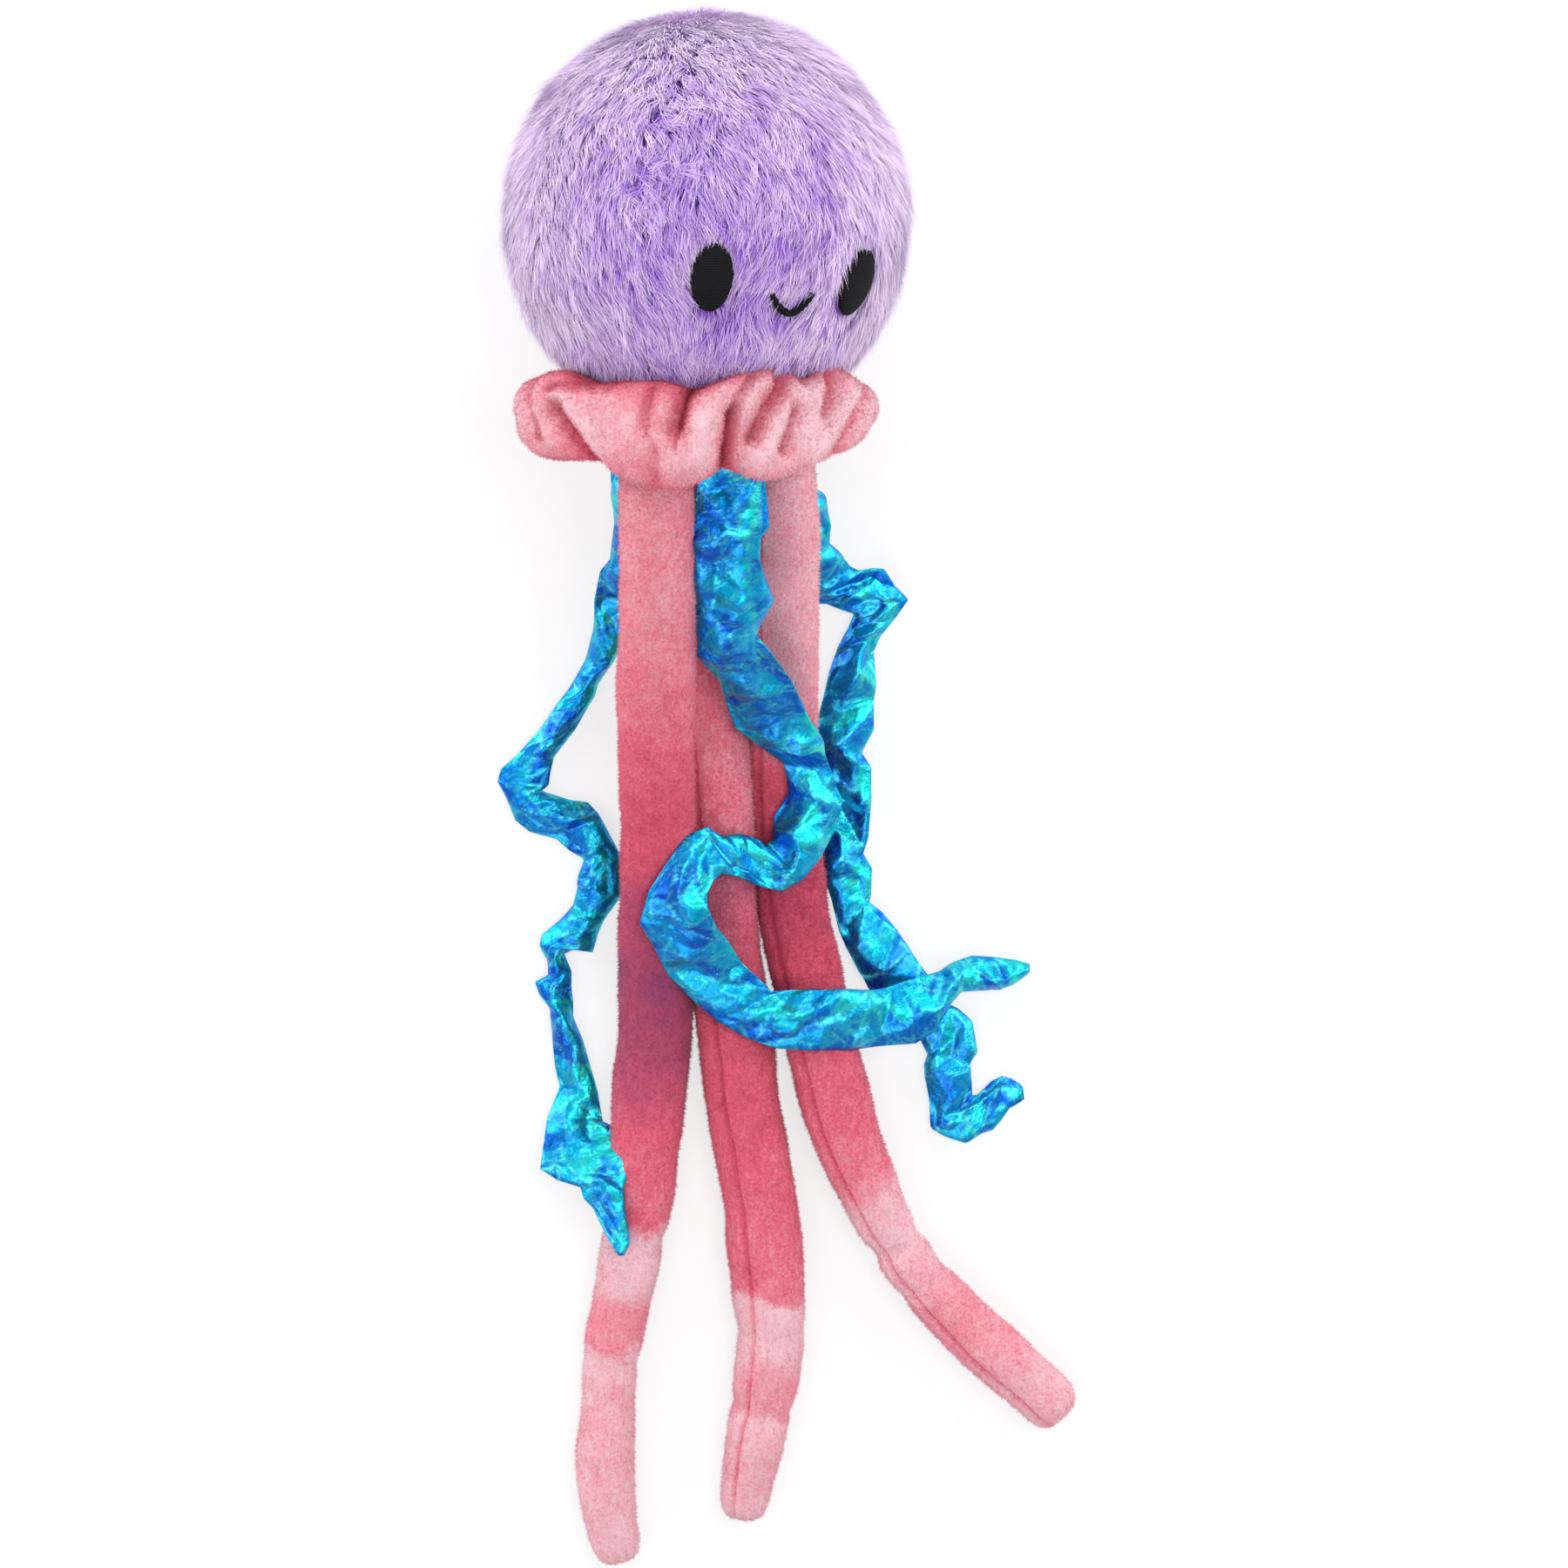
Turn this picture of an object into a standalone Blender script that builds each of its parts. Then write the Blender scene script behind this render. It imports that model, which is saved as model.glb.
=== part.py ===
"""Plush jellyfish dog toy, lying on its back with its face up.

The ball head points along +Y and the legs along -Y, the floor is z = 0, and the origin
is the point on the floor under the middle of the head. Lengths are in metres.
"""
import math
import random

import bmesh
import bpy
from mathutils import Matrix, Vector

MM = 0.001
CLEARANCE = 0.3 * MM

# Head: a ball of long pile, a little narrower at the crown and fuller at the neck
HEAD_RADIUS = 65.5 * MM
CROWN_DRAWN_IN = 0.023
JOWL_FULLNESS = 0.07
NECK_ANGLE = math.radians(146)
PILE_WALL = 3.0 * MM
REST_SINK = 1.5 * MM
HEAD_SEGMENTS = 28
HEAD_STEPS = 11

# Squeaker: a bellows disc with a reed nozzle, in the middle of the wadding
SQUEAKER_RADIUS = 17.0 * MM
SQUEAKER_THICKNESS = 16.0 * MM
NOZZLE_RADIUS = 4.0 * MM
NOZZLE_LENGTH = 3.0 * MM

# Face: satin-stitched eyes and mouth, set by their turn to the side and drop below the equator
EYE_WIDTH = 13.0 * MM
EYE_HEIGHT = 21.5 * MM
STITCH_HEIGHT = 1.6 * MM
EYE_PLACES = {"eye_left": (2.2, 16.0, 7.0), "eye_right": (49.8, 18.5, 16.0)}
MOUTH_TURN = 25.8
MOUTH_DROP = 23.2
MOUTH_WIDTH = 13.0 * MM
MOUTH_DEPTH = 6.0 * MM
MOUTH_THREAD = 0.8 * MM

# Neck: the round patch that closes the head, and the ruffle sewn round it, a band of velour
# folded double and drawn up so that it stands in lobes with creases between them
PATCH_THICKNESS = 4.0 * MM
RUFFLE_REACH = 20.0 * MM
RUFFLE_SHIFT = -2.5 * MM
RUFFLE_STEPS = 144
LOBE_FULLNESS = 1.6 * MM

# Section of the folded band: (share of its reach, share of the way down from its top to its lip)
BAND_SECTION = ((0.1, 0.3), (0.3, 0.06), (0.6, -0.02), (0.85, 0.07), (0.98, 0.26), (1.0, 0.5),
                (0.95, 0.76), (0.78, 0.95), (0.52, 1.0), (0.3, 0.84), (0.14, 0.62), (0.06, 0.44))
# Top and lip of the band round the neck: (degrees from the front, mm below the neck seam)
BAND_TOP = ((-180, -3), (-90, -1), (-70, -3), (-50, -5), (-11, -5), (0, -3), (12, -6), (25, -7),
            (45, -6), (70, -3), (90, 0), (180, -3))
BAND_LIP = ((-180, 23), (-150, 25), (-120, 19), (-95, 14), (-75, 20.5), (-60, 21), (-44, 20),
            (-33, 22), (-26, 25), (-17, 27.5), (-6, 28.5), (2, 25), (9, 21), (14, 23), (22, 26),
            (29, 25.5), (35, 23), (46, 21), (58, 19.5), (70, 17.5), (82, 15), (95, 13), (120, 20),
            (150, 26), (180, 23))
# Creases: points as (degrees from the front, mm below the neck seam), then depth and width in
# mm, and sharpness from 1 for a crack between two folds to 2 for a soft hollow
CREASES = (
    (((-90, 1), (-84, 9), (-88, 17)), 5.5, 4.0, 1.3),
    (((-73, -1), (-74, 8), (-66, 19)), 5.0, 2.8, 1.3),
    (((-54, 7), (-47, 14), (-40, 22)), 7.5, 3.8, 1.5),
    (((-68, -1), (-58, -2), (-46, -3), (-30, -3)), 3.2, 2.6, 1.5),
    (((-33, 15), (-30, 22)), 2.6, 3.2, 2.0),
    (((-16, -3), (-17, 9), (-15, 19), (-14, 29)), 2.8, 3.4, 1.5),
    (((1, -7), (-3, 1), (-5, 9), (-7, 15)), 9.0, 3.0, 1.15),
    (((12, 3), (11, 11), (9.5, 19), (8, 29)), 10.5, 2.8, 1.1),
    (((20, -7), (15, -2), (11, 3)), 3.5, 2.8, 1.8),
    (((31, -7), (29, 0), (25, 8), (22, 14)), 7.5, 2.8, 1.3),
    (((40, 3), (35, 10), (30, 17)), 5.0, 2.8, 1.4),
    (((43, -8), (44, 3), (41, 15), (38, 21)), 5.5, 2.8, 1.3),
    (((68, -5), (58, 1), (51, 10), (48, 18)), 8.0, 3.2, 1.3),
    (((72, 5), (60, 11), (60, 17)), 5.5, 2.8, 1.3),
    (((90, -2), (84, 7), (80, 16)), 5.0, 3.0, 1.4),
)
# Behind, plain gathers from top to lip: (degrees from the front, then depth, width and slant in mm)
GATHERS = ((104, 7, 3.4, 3), (120, 5, 2.8, -2), (136, 8, 3.6, 4), (152, 5, 2.8, 1),
           (168, 8, 3.2, -3), (184, 6, 2.8, 2), (202, 8, 3.4, -4), (220, 5, 2.8, 2),
           (236, 8, 3.4, 3), (252, 5, 2.8, -2))
GATHER_SHARPNESS = 1.3

# Legs: long stuffed velour tubes
LEG_WIDTH = 25.0 * MM
LEG_HEIGHT = 20.0 * MM
LEG_SIDES = 12
LEG_STEP = 10.0 * MM
LEG_TIP = 11.0 * MM
LEG_BLUNTNESS = 2.4
LEG_STEEPEST = 0.55

# Sleeves: crinkled tubes of shiny film
SLEEVE_WIDTH = 22.0 * MM
SLEEVE_HEIGHT = 6.4 * MM
SLEEVE_SIDES = 12
SLEEVE_STEP = 6.2 * MM
SLEEVE_TIP = 9.0 * MM
SLEEVE_BLUNTNESS = 2.0
SLEEVE_STEEPEST = 0.9
CRINKLE = 0.2
RESTING_GAP = 1.6 * MM
TIP_END = 0.04
CURVE_PARTS = 24

# Each limb: where it is sewn to the patch, as (side, up) from its middle, how far it
# droops, its route over the floor as (x, y), and its width along the way as (share, factor).
# Limbs are laid down in this order, and each rests on the floor and on those before it.
LIMBS = {
    "leg_right": {
        "root": (22.5, 3.0), "droop": 130,
        "route": ((24, -92), (24, -131), (24, -171), (24, -205), (28, -239), (33, -261),
                  (39, -289), (45, -313), (55, -337), (67, -359), (80, -374), (94, -388),
                  (107, -400), (120, -413)),
        "widths": ((0, 0.74), (0.1, 0.98), (0.65, 0.96), (0.76, 0.74), (0.84, 0.76), (0.93, 0.84),
                   (1, 0.7))},
    "leg_back": {
        "root": (-4.5, -23.0), "droop": 165,
        "route": ((-2, -92), (-2, -135), (-1, -160), (2, -193), (3, -222), (4, -246), (7, -268),
                  (10, -291), (13, -314), (17, -344), (20, -371), (20, -389), (18, -404),
                  (15, -420), (12, -436), (11, -449)),
        "widths": ((0, 0.74), (0.1, 1.0), (0.76, 1.0), (0.88, 0.88), (0.95, 0.76), (1, 0.46))},
    "leg_front_left": {
        "root": (-16.5, 20.0), "droop": 225,
        "route": ((-16, -92), (-16, -130), (-17, -160), (-17, -191), (-17, -222), (-18, -246),
                  (-18, -268), (-19, -286), (-22, -314), (-25, -344), (-30, -371), (-34, -389),
                  (-35, -405), (-36, -424), (-36, -440), (-34, -453), (-31, -464)),
        "widths": ((0, 0.8), (0.1, 1.0), (0.62, 0.98), (0.76, 0.8), (0.86, 0.74), (0.93, 0.78),
                   (1, 0.56))},
    "sleeve_left": {
        "root": (-28.0, -9.0), "droop": 105, "under": 0.45,
        "route": ((-27, -95), (-30, -118), (-34, -134), (-38, -150), (-46, -164), (-54, -179),
                  (-61, -192), (-59, -203), (-49, -211), (-40, -220), (-37, -231), (-42, -242),
                  (-51, -251), (-54, -262), (-52, -275), (-49, -287), (-46, -299), (-48, -312),
                  (-46, -322), (-38, -328), (-33, -336), (-33, -346), (-31, -358)),
        "widths": ((0, 0.45), (0.2, 0.4), (0.36, 0.5), (0.46, 0.7), (0.56, 0.66), (0.66, 0.44),
                   (0.76, 0.54), (0.86, 0.86), (0.93, 0.6), (1, 0.3))},
    "sleeve_right": {
        "root": (16.0, -25.0), "droop": 92, "under": 0.4,
        "route": ((18, -80), (24, -96), (35, -107), (40, -116), (46, -127), (55, -133), (57, -143),
                  (51, -155), (48, -172), (47, -186), (47, -201), (47, -216), (49, -231),
                  (53, -243), (59, -255), (67, -265), (76, -274), (81, -284), (81, -296),
                  (85, -308), (92, -313), (98, -307), (103, -300)),
        "widths": ((0, 0.5), (0.1, 0.5), (0.24, 0.6), (0.4, 0.8), (0.6, 0.74), (0.75, 0.84),
                   (0.86, 0.66), (0.94, 0.5), (1, 0.44))},
    "sleeve_centre": {
        "root": (8.0, 27.5), "droop": 135,
        "route": ((8, -95), (7, -114), (10, -129), (7, -142), (13, -155), (19, -168), (26, -181),
                  (34, -192), (37, -203), (32, -213), (22, -220), (10, -217), (-3, -216),
                  (-13, -225), (-17, -238), (-12, -250), (-2, -261), (9, -268), (24, -273),
                  (40, -273), (54, -272), (66, -270), (76, -265), (85, -261), (96, -259),
                  (108, -257)),
        "widths": ((0, 0.95), (0.1, 1.06), (0.3, 0.96), (0.4, 0.84), (0.48, 0.9), (0.56, 1.05),
                   (0.74, 1.0), (0.83, 0.84), (0.885, 0.36), (0.94, 0.6), (1, 0.2))},
}

NECK_Y = HEAD_RADIUS * (1 - JOWL_FULLNESS * math.cos(NECK_ANGLE)) * math.cos(NECK_ANGLE)
NECK_RADIUS = -NECK_Y * math.tan(math.pi - NECK_ANGLE)
HEAD_HEIGHT = HEAD_RADIUS - REST_SINK
PATCH_TOP = NECK_Y - CLEARANCE
LIMB_START = PATCH_TOP - PATCH_THICKNESS - CLEARANCE


def clear_scene():
    for item in list(bpy.data.objects):
        bpy.data.objects.remove(item, do_unlink=True)


def new_collection(name):
    collection = bpy.data.collections.new(name)
    bpy.context.scene.collection.children.link(collection)
    return collection


def finish(name, colour, roughness, metallic=0.0):
    """A plain Principled material with the part's own colour."""
    material = bpy.data.materials.new(name)
    material.use_nodes = True
    shader = material.node_tree.nodes["Principled BSDF"]
    shader.inputs["Base Color"].default_value = (*colour, 1.0)
    shader.inputs["Roughness"].default_value = roughness
    shader.inputs["Metallic"].default_value = metallic
    return material


def add_piece(name, mesh, material, collection):
    piece = bpy.data.objects.new(name, mesh)
    piece.data.materials.append(material)
    collection.objects.link(piece)
    return piece


def mesh_from(bm, name):
    bmesh.ops.recalc_face_normals(bm, faces=bm.faces)
    mesh = bpy.data.meshes.new(name)
    bm.to_mesh(mesh)
    bm.free()
    mesh.shade_smooth()
    return mesh


def head_radius(angle):
    """Distance from the middle of the head to its face, at an angle from the crown."""
    lean = math.cos(angle)
    return HEAD_RADIUS * (1 - CROWN_DRAWN_IN * max(lean, 0) + JOWL_FULLNESS * max(-lean, 0))


def on_head(turn, drop, lift):
    """A point above the head's face, by its turn to the side and drop below the equator."""
    angle = math.pi / 2 + drop
    reach = head_radius(angle) + lift
    ring = reach * math.sin(angle)
    return Vector((ring * math.sin(turn), reach * math.cos(angle), HEAD_HEIGHT + ring * math.cos(turn)))


def turned(name, profile, segments, material, collection):
    """A profile of (radius, distance towards the crown), turned about the head's long axis."""
    mesh = bpy.data.meshes.new(name)
    edges = [(i, i + 1) for i in range(len(profile) - 1)]
    mesh.from_pydata([(radius, 0, along) for radius, along in profile], edges, [])
    piece = add_piece(name, mesh, material, collection)
    piece.location = (0, 0, HEAD_HEIGHT)
    piece.rotation_euler = (-math.pi / 2, 0, 0)
    screw = piece.modifiers.new("Turn", "SCREW")
    screw.steps = segments
    screw.render_steps = segments
    screw.use_merge_vertices = True
    screw.merge_threshold = 0.00001
    return piece


def head_profile(inset, lowest):
    """Points down the head's side from the crown, inset from its face, to the level lowest."""
    profile = []
    for step in range(HEAD_STEPS * 2 + 1):
        angle = math.pi * step / (HEAD_STEPS * 2)
        reach = head_radius(angle) - inset
        if reach * math.cos(angle) <= lowest:
            break
        profile.append((reach * math.sin(angle), reach * math.cos(angle)))
    reach = head_radius(angle) - inset
    profile.append((math.sqrt(reach ** 2 - lowest ** 2), lowest))
    return profile


def make_head(parts, cutters, pile, wadding, plastic):
    cover = turned("head_cover", head_profile(0, NECK_Y), HEAD_SEGMENTS, pile, parts)
    wall = cover.modifiers.new("Wall", "SOLIDIFY")
    wall.thickness = PILE_WALL
    wall.offset = -1
    floor = bmesh.new()
    bmesh.ops.create_cube(floor, size=1, matrix=Matrix.Diagonal((HEAD_RADIUS * 3, HEAD_RADIUS * 3,
                                                                HEAD_RADIUS, 1)))
    block = bpy.data.objects.new("floor_cutter", mesh_from(floor, "floor_cutter"))
    block.location = (0, 0, -HEAD_RADIUS / 2)
    block.hide_render = True
    block.display_type = "WIRE"
    cutters.objects.link(block)
    flat = cover.modifiers.new("Flat spot", "BOOLEAN")
    flat.object = block
    flat.operation = "DIFFERENCE"

    pocket_top = SQUEAKER_THICKNESS / 2 + CLEARANCE
    pocket_radius = SQUEAKER_RADIUS + CLEARANCE
    fill = head_profile(PILE_WALL + CLEARANCE, NECK_Y + CLEARANCE)
    fill += [(pocket_radius, NECK_Y + CLEARANCE), (pocket_radius, pocket_top), (0, pocket_top)]
    turned("head_wadding", fill, HEAD_SEGMENTS, wadding, parts)

    half = SQUEAKER_THICKNESS / 2
    waist = SQUEAKER_RADIUS * 0.9
    bellows = [(0, half), (SQUEAKER_RADIUS * 0.8, half), (SQUEAKER_RADIUS, half * 0.6), (waist, 0),
               (SQUEAKER_RADIUS, -half * 0.6), (SQUEAKER_RADIUS * 0.8, -half), (NOZZLE_RADIUS, -half),
               (NOZZLE_RADIUS, -half - NOZZLE_LENGTH), (0, -half - NOZZLE_LENGTH)]
    turned("squeaker", bellows, HEAD_SEGMENTS - 10, plastic, parts)

    plug_top = -half - NOZZLE_LENGTH - CLEARANCE
    plug = [(0, plug_top), (SQUEAKER_RADIUS, plug_top), (SQUEAKER_RADIUS, NECK_Y + CLEARANCE),
            (0, NECK_Y + CLEARANCE)]
    turned("wadding_plug", plug, HEAD_SEGMENTS - 10, wadding, parts)


def make_face(parts, thread):
    """Raised satin stitch: two upright ovals and a smile, each following the head's face."""
    for name, (turn, drop, roll) in EYE_PLACES.items():
        bm = bmesh.new()
        size = Matrix.Diagonal((EYE_WIDTH / 2, EYE_HEIGHT / 2, STITCH_HEIGHT / 2, 1))
        spin = Matrix.Rotation(-math.radians(roll), 4, "Z")
        bmesh.ops.create_uvsphere(bm, u_segments=16, v_segments=6, radius=1, matrix=spin @ size)
        for vert in bm.verts:
            lift = CLEARANCE + STITCH_HEIGHT / 2 + vert.co.z
            across = vert.co.x / (HEAD_RADIUS * math.cos(math.radians(drop)))
            vert.co = on_head(math.radians(turn) + across,
                              math.radians(drop) - vert.co.y / HEAD_RADIUS, lift)
        add_piece(name, mesh_from(bm, name), thread, parts)

    smile = bpy.data.curves.new("mouth", "CURVE")
    smile.dimensions = "3D"
    smile.bevel_depth = MOUTH_THREAD
    smile.bevel_resolution = 2
    smile.use_fill_caps = True
    spline = smile.splines.new("POLY")
    steps = 10
    spline.points.add(steps)
    for step, point in enumerate(spline.points):
        share = 2 * step / steps - 1
        across = share * MOUTH_WIDTH / 2 / (HEAD_RADIUS * math.cos(math.radians(MOUTH_DROP)))
        down = MOUTH_DEPTH * (0.5 - share ** 2) / HEAD_RADIUS
        place = on_head(math.radians(MOUTH_TURN) + across, math.radians(MOUTH_DROP) + down,
                        CLEARANCE + MOUTH_THREAD)
        point.co = (*place, 1)
    add_piece("mouth", smile, thread, parts)


def between(pairs, share):
    """Read a list of (share, value) pairs at a share, with straight runs between them."""
    for (low, first), (high, second) in zip(pairs, pairs[1:]):
        if share <= high:
            return first + (second - first) * (share - low) / (high - low)
    return pairs[-1][1]


def head_level(radius):
    """How far along the toy the head's lower face lies, at a distance from its long axis."""
    level = NECK_Y
    for trial in range(8):
        angle = math.atan2(radius, level)
        level = -math.sqrt(max(head_radius(angle) ** 2 - radius ** 2, 0.0))
    return level


def away_from(line, across, down):
    """Distance of a point from a line of points, all laid out flat."""
    spot = Vector((across, down))
    best = math.inf
    for first, second in zip(line, line[1:]):
        run = second - first
        share = min(max((spot - first).dot(run) / run.length_squared, 0.0), 1.0)
        best = min(best, (spot - first - run * share).length)
    return best


def drawn_in(degrees, down, arc):
    """How far the creases draw the band in, at an angle from the front and a depth below the seam.

    arc is the length of one degree round the band.
    """
    depth = 0.0
    for line, deep, width, sharpness in CREASES:
        laid = [Vector((angle * arc, level * MM)) for angle, level in line]
        away = away_from(laid, degrees * arc, down) / (width * MM)
        depth = math.hypot(depth, deep * MM * math.exp(-away ** sharpness))
    for angle, deep, width, slant in GATHERS:
        lean = slant * MM * down / RUFFLE_REACH
        away = abs(math.remainder(degrees - angle, 360) * arc - lean) / (width * MM)
        depth = math.hypot(depth, deep * MM * math.exp(-away ** GATHER_SHARPNESS))
    return depth


def make_neck(parts, velour):
    bm = bmesh.new()
    lying = Matrix.Rotation(math.pi / 2, 4, "X")
    middle = Matrix.Translation((0, PATCH_TOP - PATCH_THICKNESS / 2, HEAD_HEIGHT))
    bmesh.ops.create_cone(bm, cap_ends=True, segments=36, radius1=NECK_RADIUS, radius2=NECK_RADIUS,
                          depth=PATCH_THICKNESS, matrix=middle @ lying)
    add_piece("neck_patch", mesh_from(bm, "neck_patch"), velour, parts)

    seam = NECK_RADIUS + CLEARANCE
    arc = math.radians(1) * (NECK_RADIUS + RUFFLE_REACH)
    rings = []
    for step in range(RUFFLE_STEPS):
        degrees = 360 * step / RUFFLE_STEPS - 180
        angle = math.radians(degrees)
        top = between(BAND_TOP, degrees) * MM
        lip = between(BAND_LIP, degrees) * MM
        ring = []
        for reach, share in BAND_SECTION:
            down = top + (lip - top) * share
            depth = drawn_in(degrees, down, arc)
            fullness = LOBE_FULLNESS * max(0.0, 1 - depth / (3 * LOBE_FULLNESS))
            outer = min(max(2 * reach - 0.3, 0.0), 1.0)
            radius = seam + reach * RUFFLE_REACH + (fullness - depth) * outer
            radius = max(radius, seam + reach * PATCH_THICKNESS)
            across = RUFFLE_SHIFT * reach + radius * math.sin(angle)
            rise = radius * math.cos(angle)
            # Its top lies against the head
            down = max(down, NECK_Y - head_level(math.hypot(across, rise)) + CLEARANCE)
            ring.append(Vector((across, NECK_Y - down, HEAD_HEIGHT + rise)))
        rings.append(ring)
    add_piece("ruffle", loft("ruffle", rings, closed=True), velour, parts)


def loft(name, rings, closed=False):
    """Skin over rings of points, joined end to end or capped at both ends."""
    bm = bmesh.new()
    loops = [[bm.verts.new(point) for point in ring] for ring in rings]
    pairs = list(zip(loops, loops[1:]))
    if closed:
        pairs.append((loops[-1], loops[0]))
    for first, second in pairs:
        for i in range(len(first)):
            j = (i + 1) % len(first)
            bm.faces.new((first[i], first[j], second[j], second[i]))
    if not closed:
        bm.faces.new(loops[0])
        bm.faces.new(loops[-1])
    return mesh_from(bm, name)


def smooth_route(points, step):
    """Points a step apart along a smooth curve through the given (x, y) points."""
    ends = [points[0] * 2 - points[1]] + points + [points[-1] * 2 - points[-2]]
    fine = []
    for a, b, c, d in zip(ends, ends[1:], ends[2:], ends[3:]):
        for part in range(CURVE_PARTS):
            t = part / CURVE_PARTS
            fine.append(0.5 * (2 * b + (c - a) * t + (2 * a - 5 * b + 4 * c - d) * t ** 2
                               + (3 * b - a - 3 * c + d) * t ** 3))
    fine.append(points[-1])
    lengths = [0.0]
    for first, second in zip(fine, fine[1:]):
        lengths.append(lengths[-1] + (second - first).length)
    count = max(4, round(lengths[-1] / step))
    route = []
    place = 0
    for index in range(count + 1):
        goal = lengths[-1] * index / count
        while place < len(fine) - 2 and lengths[place + 1] < goal:
            place += 1
        share = (goal - lengths[place]) / (lengths[place + 1] - lengths[place])
        route.append(fine[place].lerp(fine[place + 1], min(share, 1)))
    return route


def top_of(laid, spot, passing):
    """Height of what is laid already at a spot, less what a limb passing there hangs under."""
    top = 0.0
    for limb in laid:
        for (start, end), (width, height) in zip(zip(limb["line"], limb["line"][1:]), limb["sizes"]):
            run = (end - start).to_2d()
            share = (spot - start.to_2d()).dot(run) / run.length_squared
            share = min(max(share, 0.0), 1.0)
            away = (spot - start.to_2d() - run * share).length / (width / 2)
            if away < 1:
                middle = start.z + (end.z - start.z) * share
                rise = height / 2 * math.sqrt(1 - away ** 2)
                if middle - rise < passing:
                    top = max(top, middle + rise)
    return top


def settle(route, sizes, start, droop, under, laid, steepest):
    """Heights for a limb that droops from the patch and rests on the floor and on others.

    Over its first stretch, up to the share under, it may hang below what is laid already.
    """
    heights = []
    run = 0.0
    for index, spot in enumerate(route):
        width, height = sizes[index]
        if index:
            run += (spot - route[index - 1]).length
        ahead = (route[min(index + 1, len(route) - 1)] - route[max(index - 1, 0)]).normalized()
        side = Vector((-ahead.y, ahead.x))
        hang = 0.5 + 0.5 * math.cos(math.pi * min(1.0, run / droop))
        lowest = height / 2 + (start - height / 2) * hang
        passing = lowest + height / 2 if index < under * len(route) else math.inf
        for tenth in range(-10, 11, 2):
            top = top_of(laid, spot + side * width / 2 * tenth / 10, passing)
            if top:
                belly = height / 2 * math.sqrt(1 - (tenth / 10) ** 2)
                lowest = max(lowest, top + belly + RESTING_GAP)
        heights.append(lowest)
    step = (route[1] - route[0]).length
    eased = [max(other - steepest * step * abs(index - place)
                 for place, other in enumerate(heights)) for index in range(len(heights))]
    for sweep in range(3):
        eased = [eased[0]] + [max(heights[i], (eased[i - 1] + 2 * eased[i] + eased[i + 1]) / 4)
                              for i in range(1, len(eased) - 1)] + [eased[-1]]
    return eased


def limb_rings(line, sizes, sides, crinkle, tip, bluntness, seed):
    """Flat-oval rings along a limb, closed in over the last stretch, crumpled if it is film."""
    chance = random.Random(seed)
    rings = []
    total = len(line) - 1
    for index, middle in enumerate(line):
        ahead = (line[min(index + 1, total)] - line[max(index - 1, 0)]).normalized()
        side = ahead.cross(Vector((0, 0, 1))).normalized()
        up = side.cross(ahead)
        width, height = sizes[index]
        left = (total - index) * (line[1] - line[0]).length
        close = (1 - (1 - min(left / tip + TIP_END, 1.0)) ** bluntness) ** (1 / bluntness)
        pinch = 1 + crinkle * (chance.uniform(-0.5, 0.4) if 0 < index < total else 0)
        ring = []
        for corner in range(sides):
            angle = 2 * math.pi * corner / sides
            rough = 1 + crinkle * chance.uniform(-1.6, 0.2)
            across = math.cos(angle) * width / 2 * pinch * close
            lift = math.sin(angle) * height / 2 * rough * close
            point = middle + side * across + up * lift
            point.z = max(point.z, 0.0)
            ring.append(point)
        rings.append(ring)
    return rings


def make_limbs(parts, velour, film):
    laid = []
    for seed, (name, limb) in enumerate(LIMBS.items()):
        is_leg = name.startswith("leg")
        width, height = (LEG_WIDTH, LEG_HEIGHT) if is_leg else (SLEEVE_WIDTH, SLEEVE_HEIGHT)
        root_x, root_up = (value * MM for value in limb["root"])
        start = Vector((root_x, LIMB_START))
        points = [start] + [Vector((x * MM, y * MM)) for x, y in limb["route"]]
        route = smooth_route(points, LEG_STEP if is_leg else SLEEVE_STEP)
        shares = [between(limb["widths"], i / (len(route) - 1)) for i in range(len(route))]
        if is_leg:
            sizes = [(width * share, height * (0.25 + 0.75 * share)) for share in shares]
        else:
            sizes = [(width * share, height * (1.35 - 0.35 * share)) for share in shares]
        heights = settle(route, sizes, HEAD_HEIGHT + root_up, limb["droop"] * MM,
                         limb.get("under", 0), laid,
                         LEG_STEEPEST if is_leg else SLEEVE_STEEPEST)
        line = [spot.to_3d() + Vector((0, 0, level)) for spot, level in zip(route, heights)]
        laid.append({"line": line, "sizes": sizes})
        if is_leg:
            rings = limb_rings(line, sizes, LEG_SIDES, 0, LEG_TIP, LEG_BLUNTNESS, seed)
        else:
            rings = limb_rings(line, sizes, SLEEVE_SIDES, CRINKLE, SLEEVE_TIP, SLEEVE_BLUNTNESS, seed)
        # The top end lies flat against the patch, whatever way the limb then runs
        for point in rings[0]:
            point.y = LIMB_START
        add_piece(name, loft(name, rings), velour if is_leg else film, parts)


def main():
    clear_scene()
    parts = new_collection("plush_jellyfish")
    cutters = new_collection("cutters")
    pile = finish("lavender_pile", (0.46, 0.32, 0.68), 0.95)
    velour = finish("rose_velour", (0.69, 0.19, 0.25), 0.9)
    film = finish("blue_film", (0.01, 0.27, 0.62), 0.25, 0.85)
    thread = finish("black_thread", (0.006, 0.006, 0.008), 0.55)
    wadding = finish("white_wadding", (0.85, 0.85, 0.83), 1.0)
    plastic = finish("white_plastic", (0.8, 0.8, 0.78), 0.4)
    make_head(parts, cutters, pile, wadding, plastic)
    make_face(parts, thread)
    make_neck(parts, velour)
    make_limbs(parts, velour, film)


main()
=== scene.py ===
"""Looks of the plush jellyfish dog toy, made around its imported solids. Lengths are in metres.

The toy lies on its back on the floor z = 0, with its head towards +Y and its legs towards -Y.
"""
import math

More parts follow.
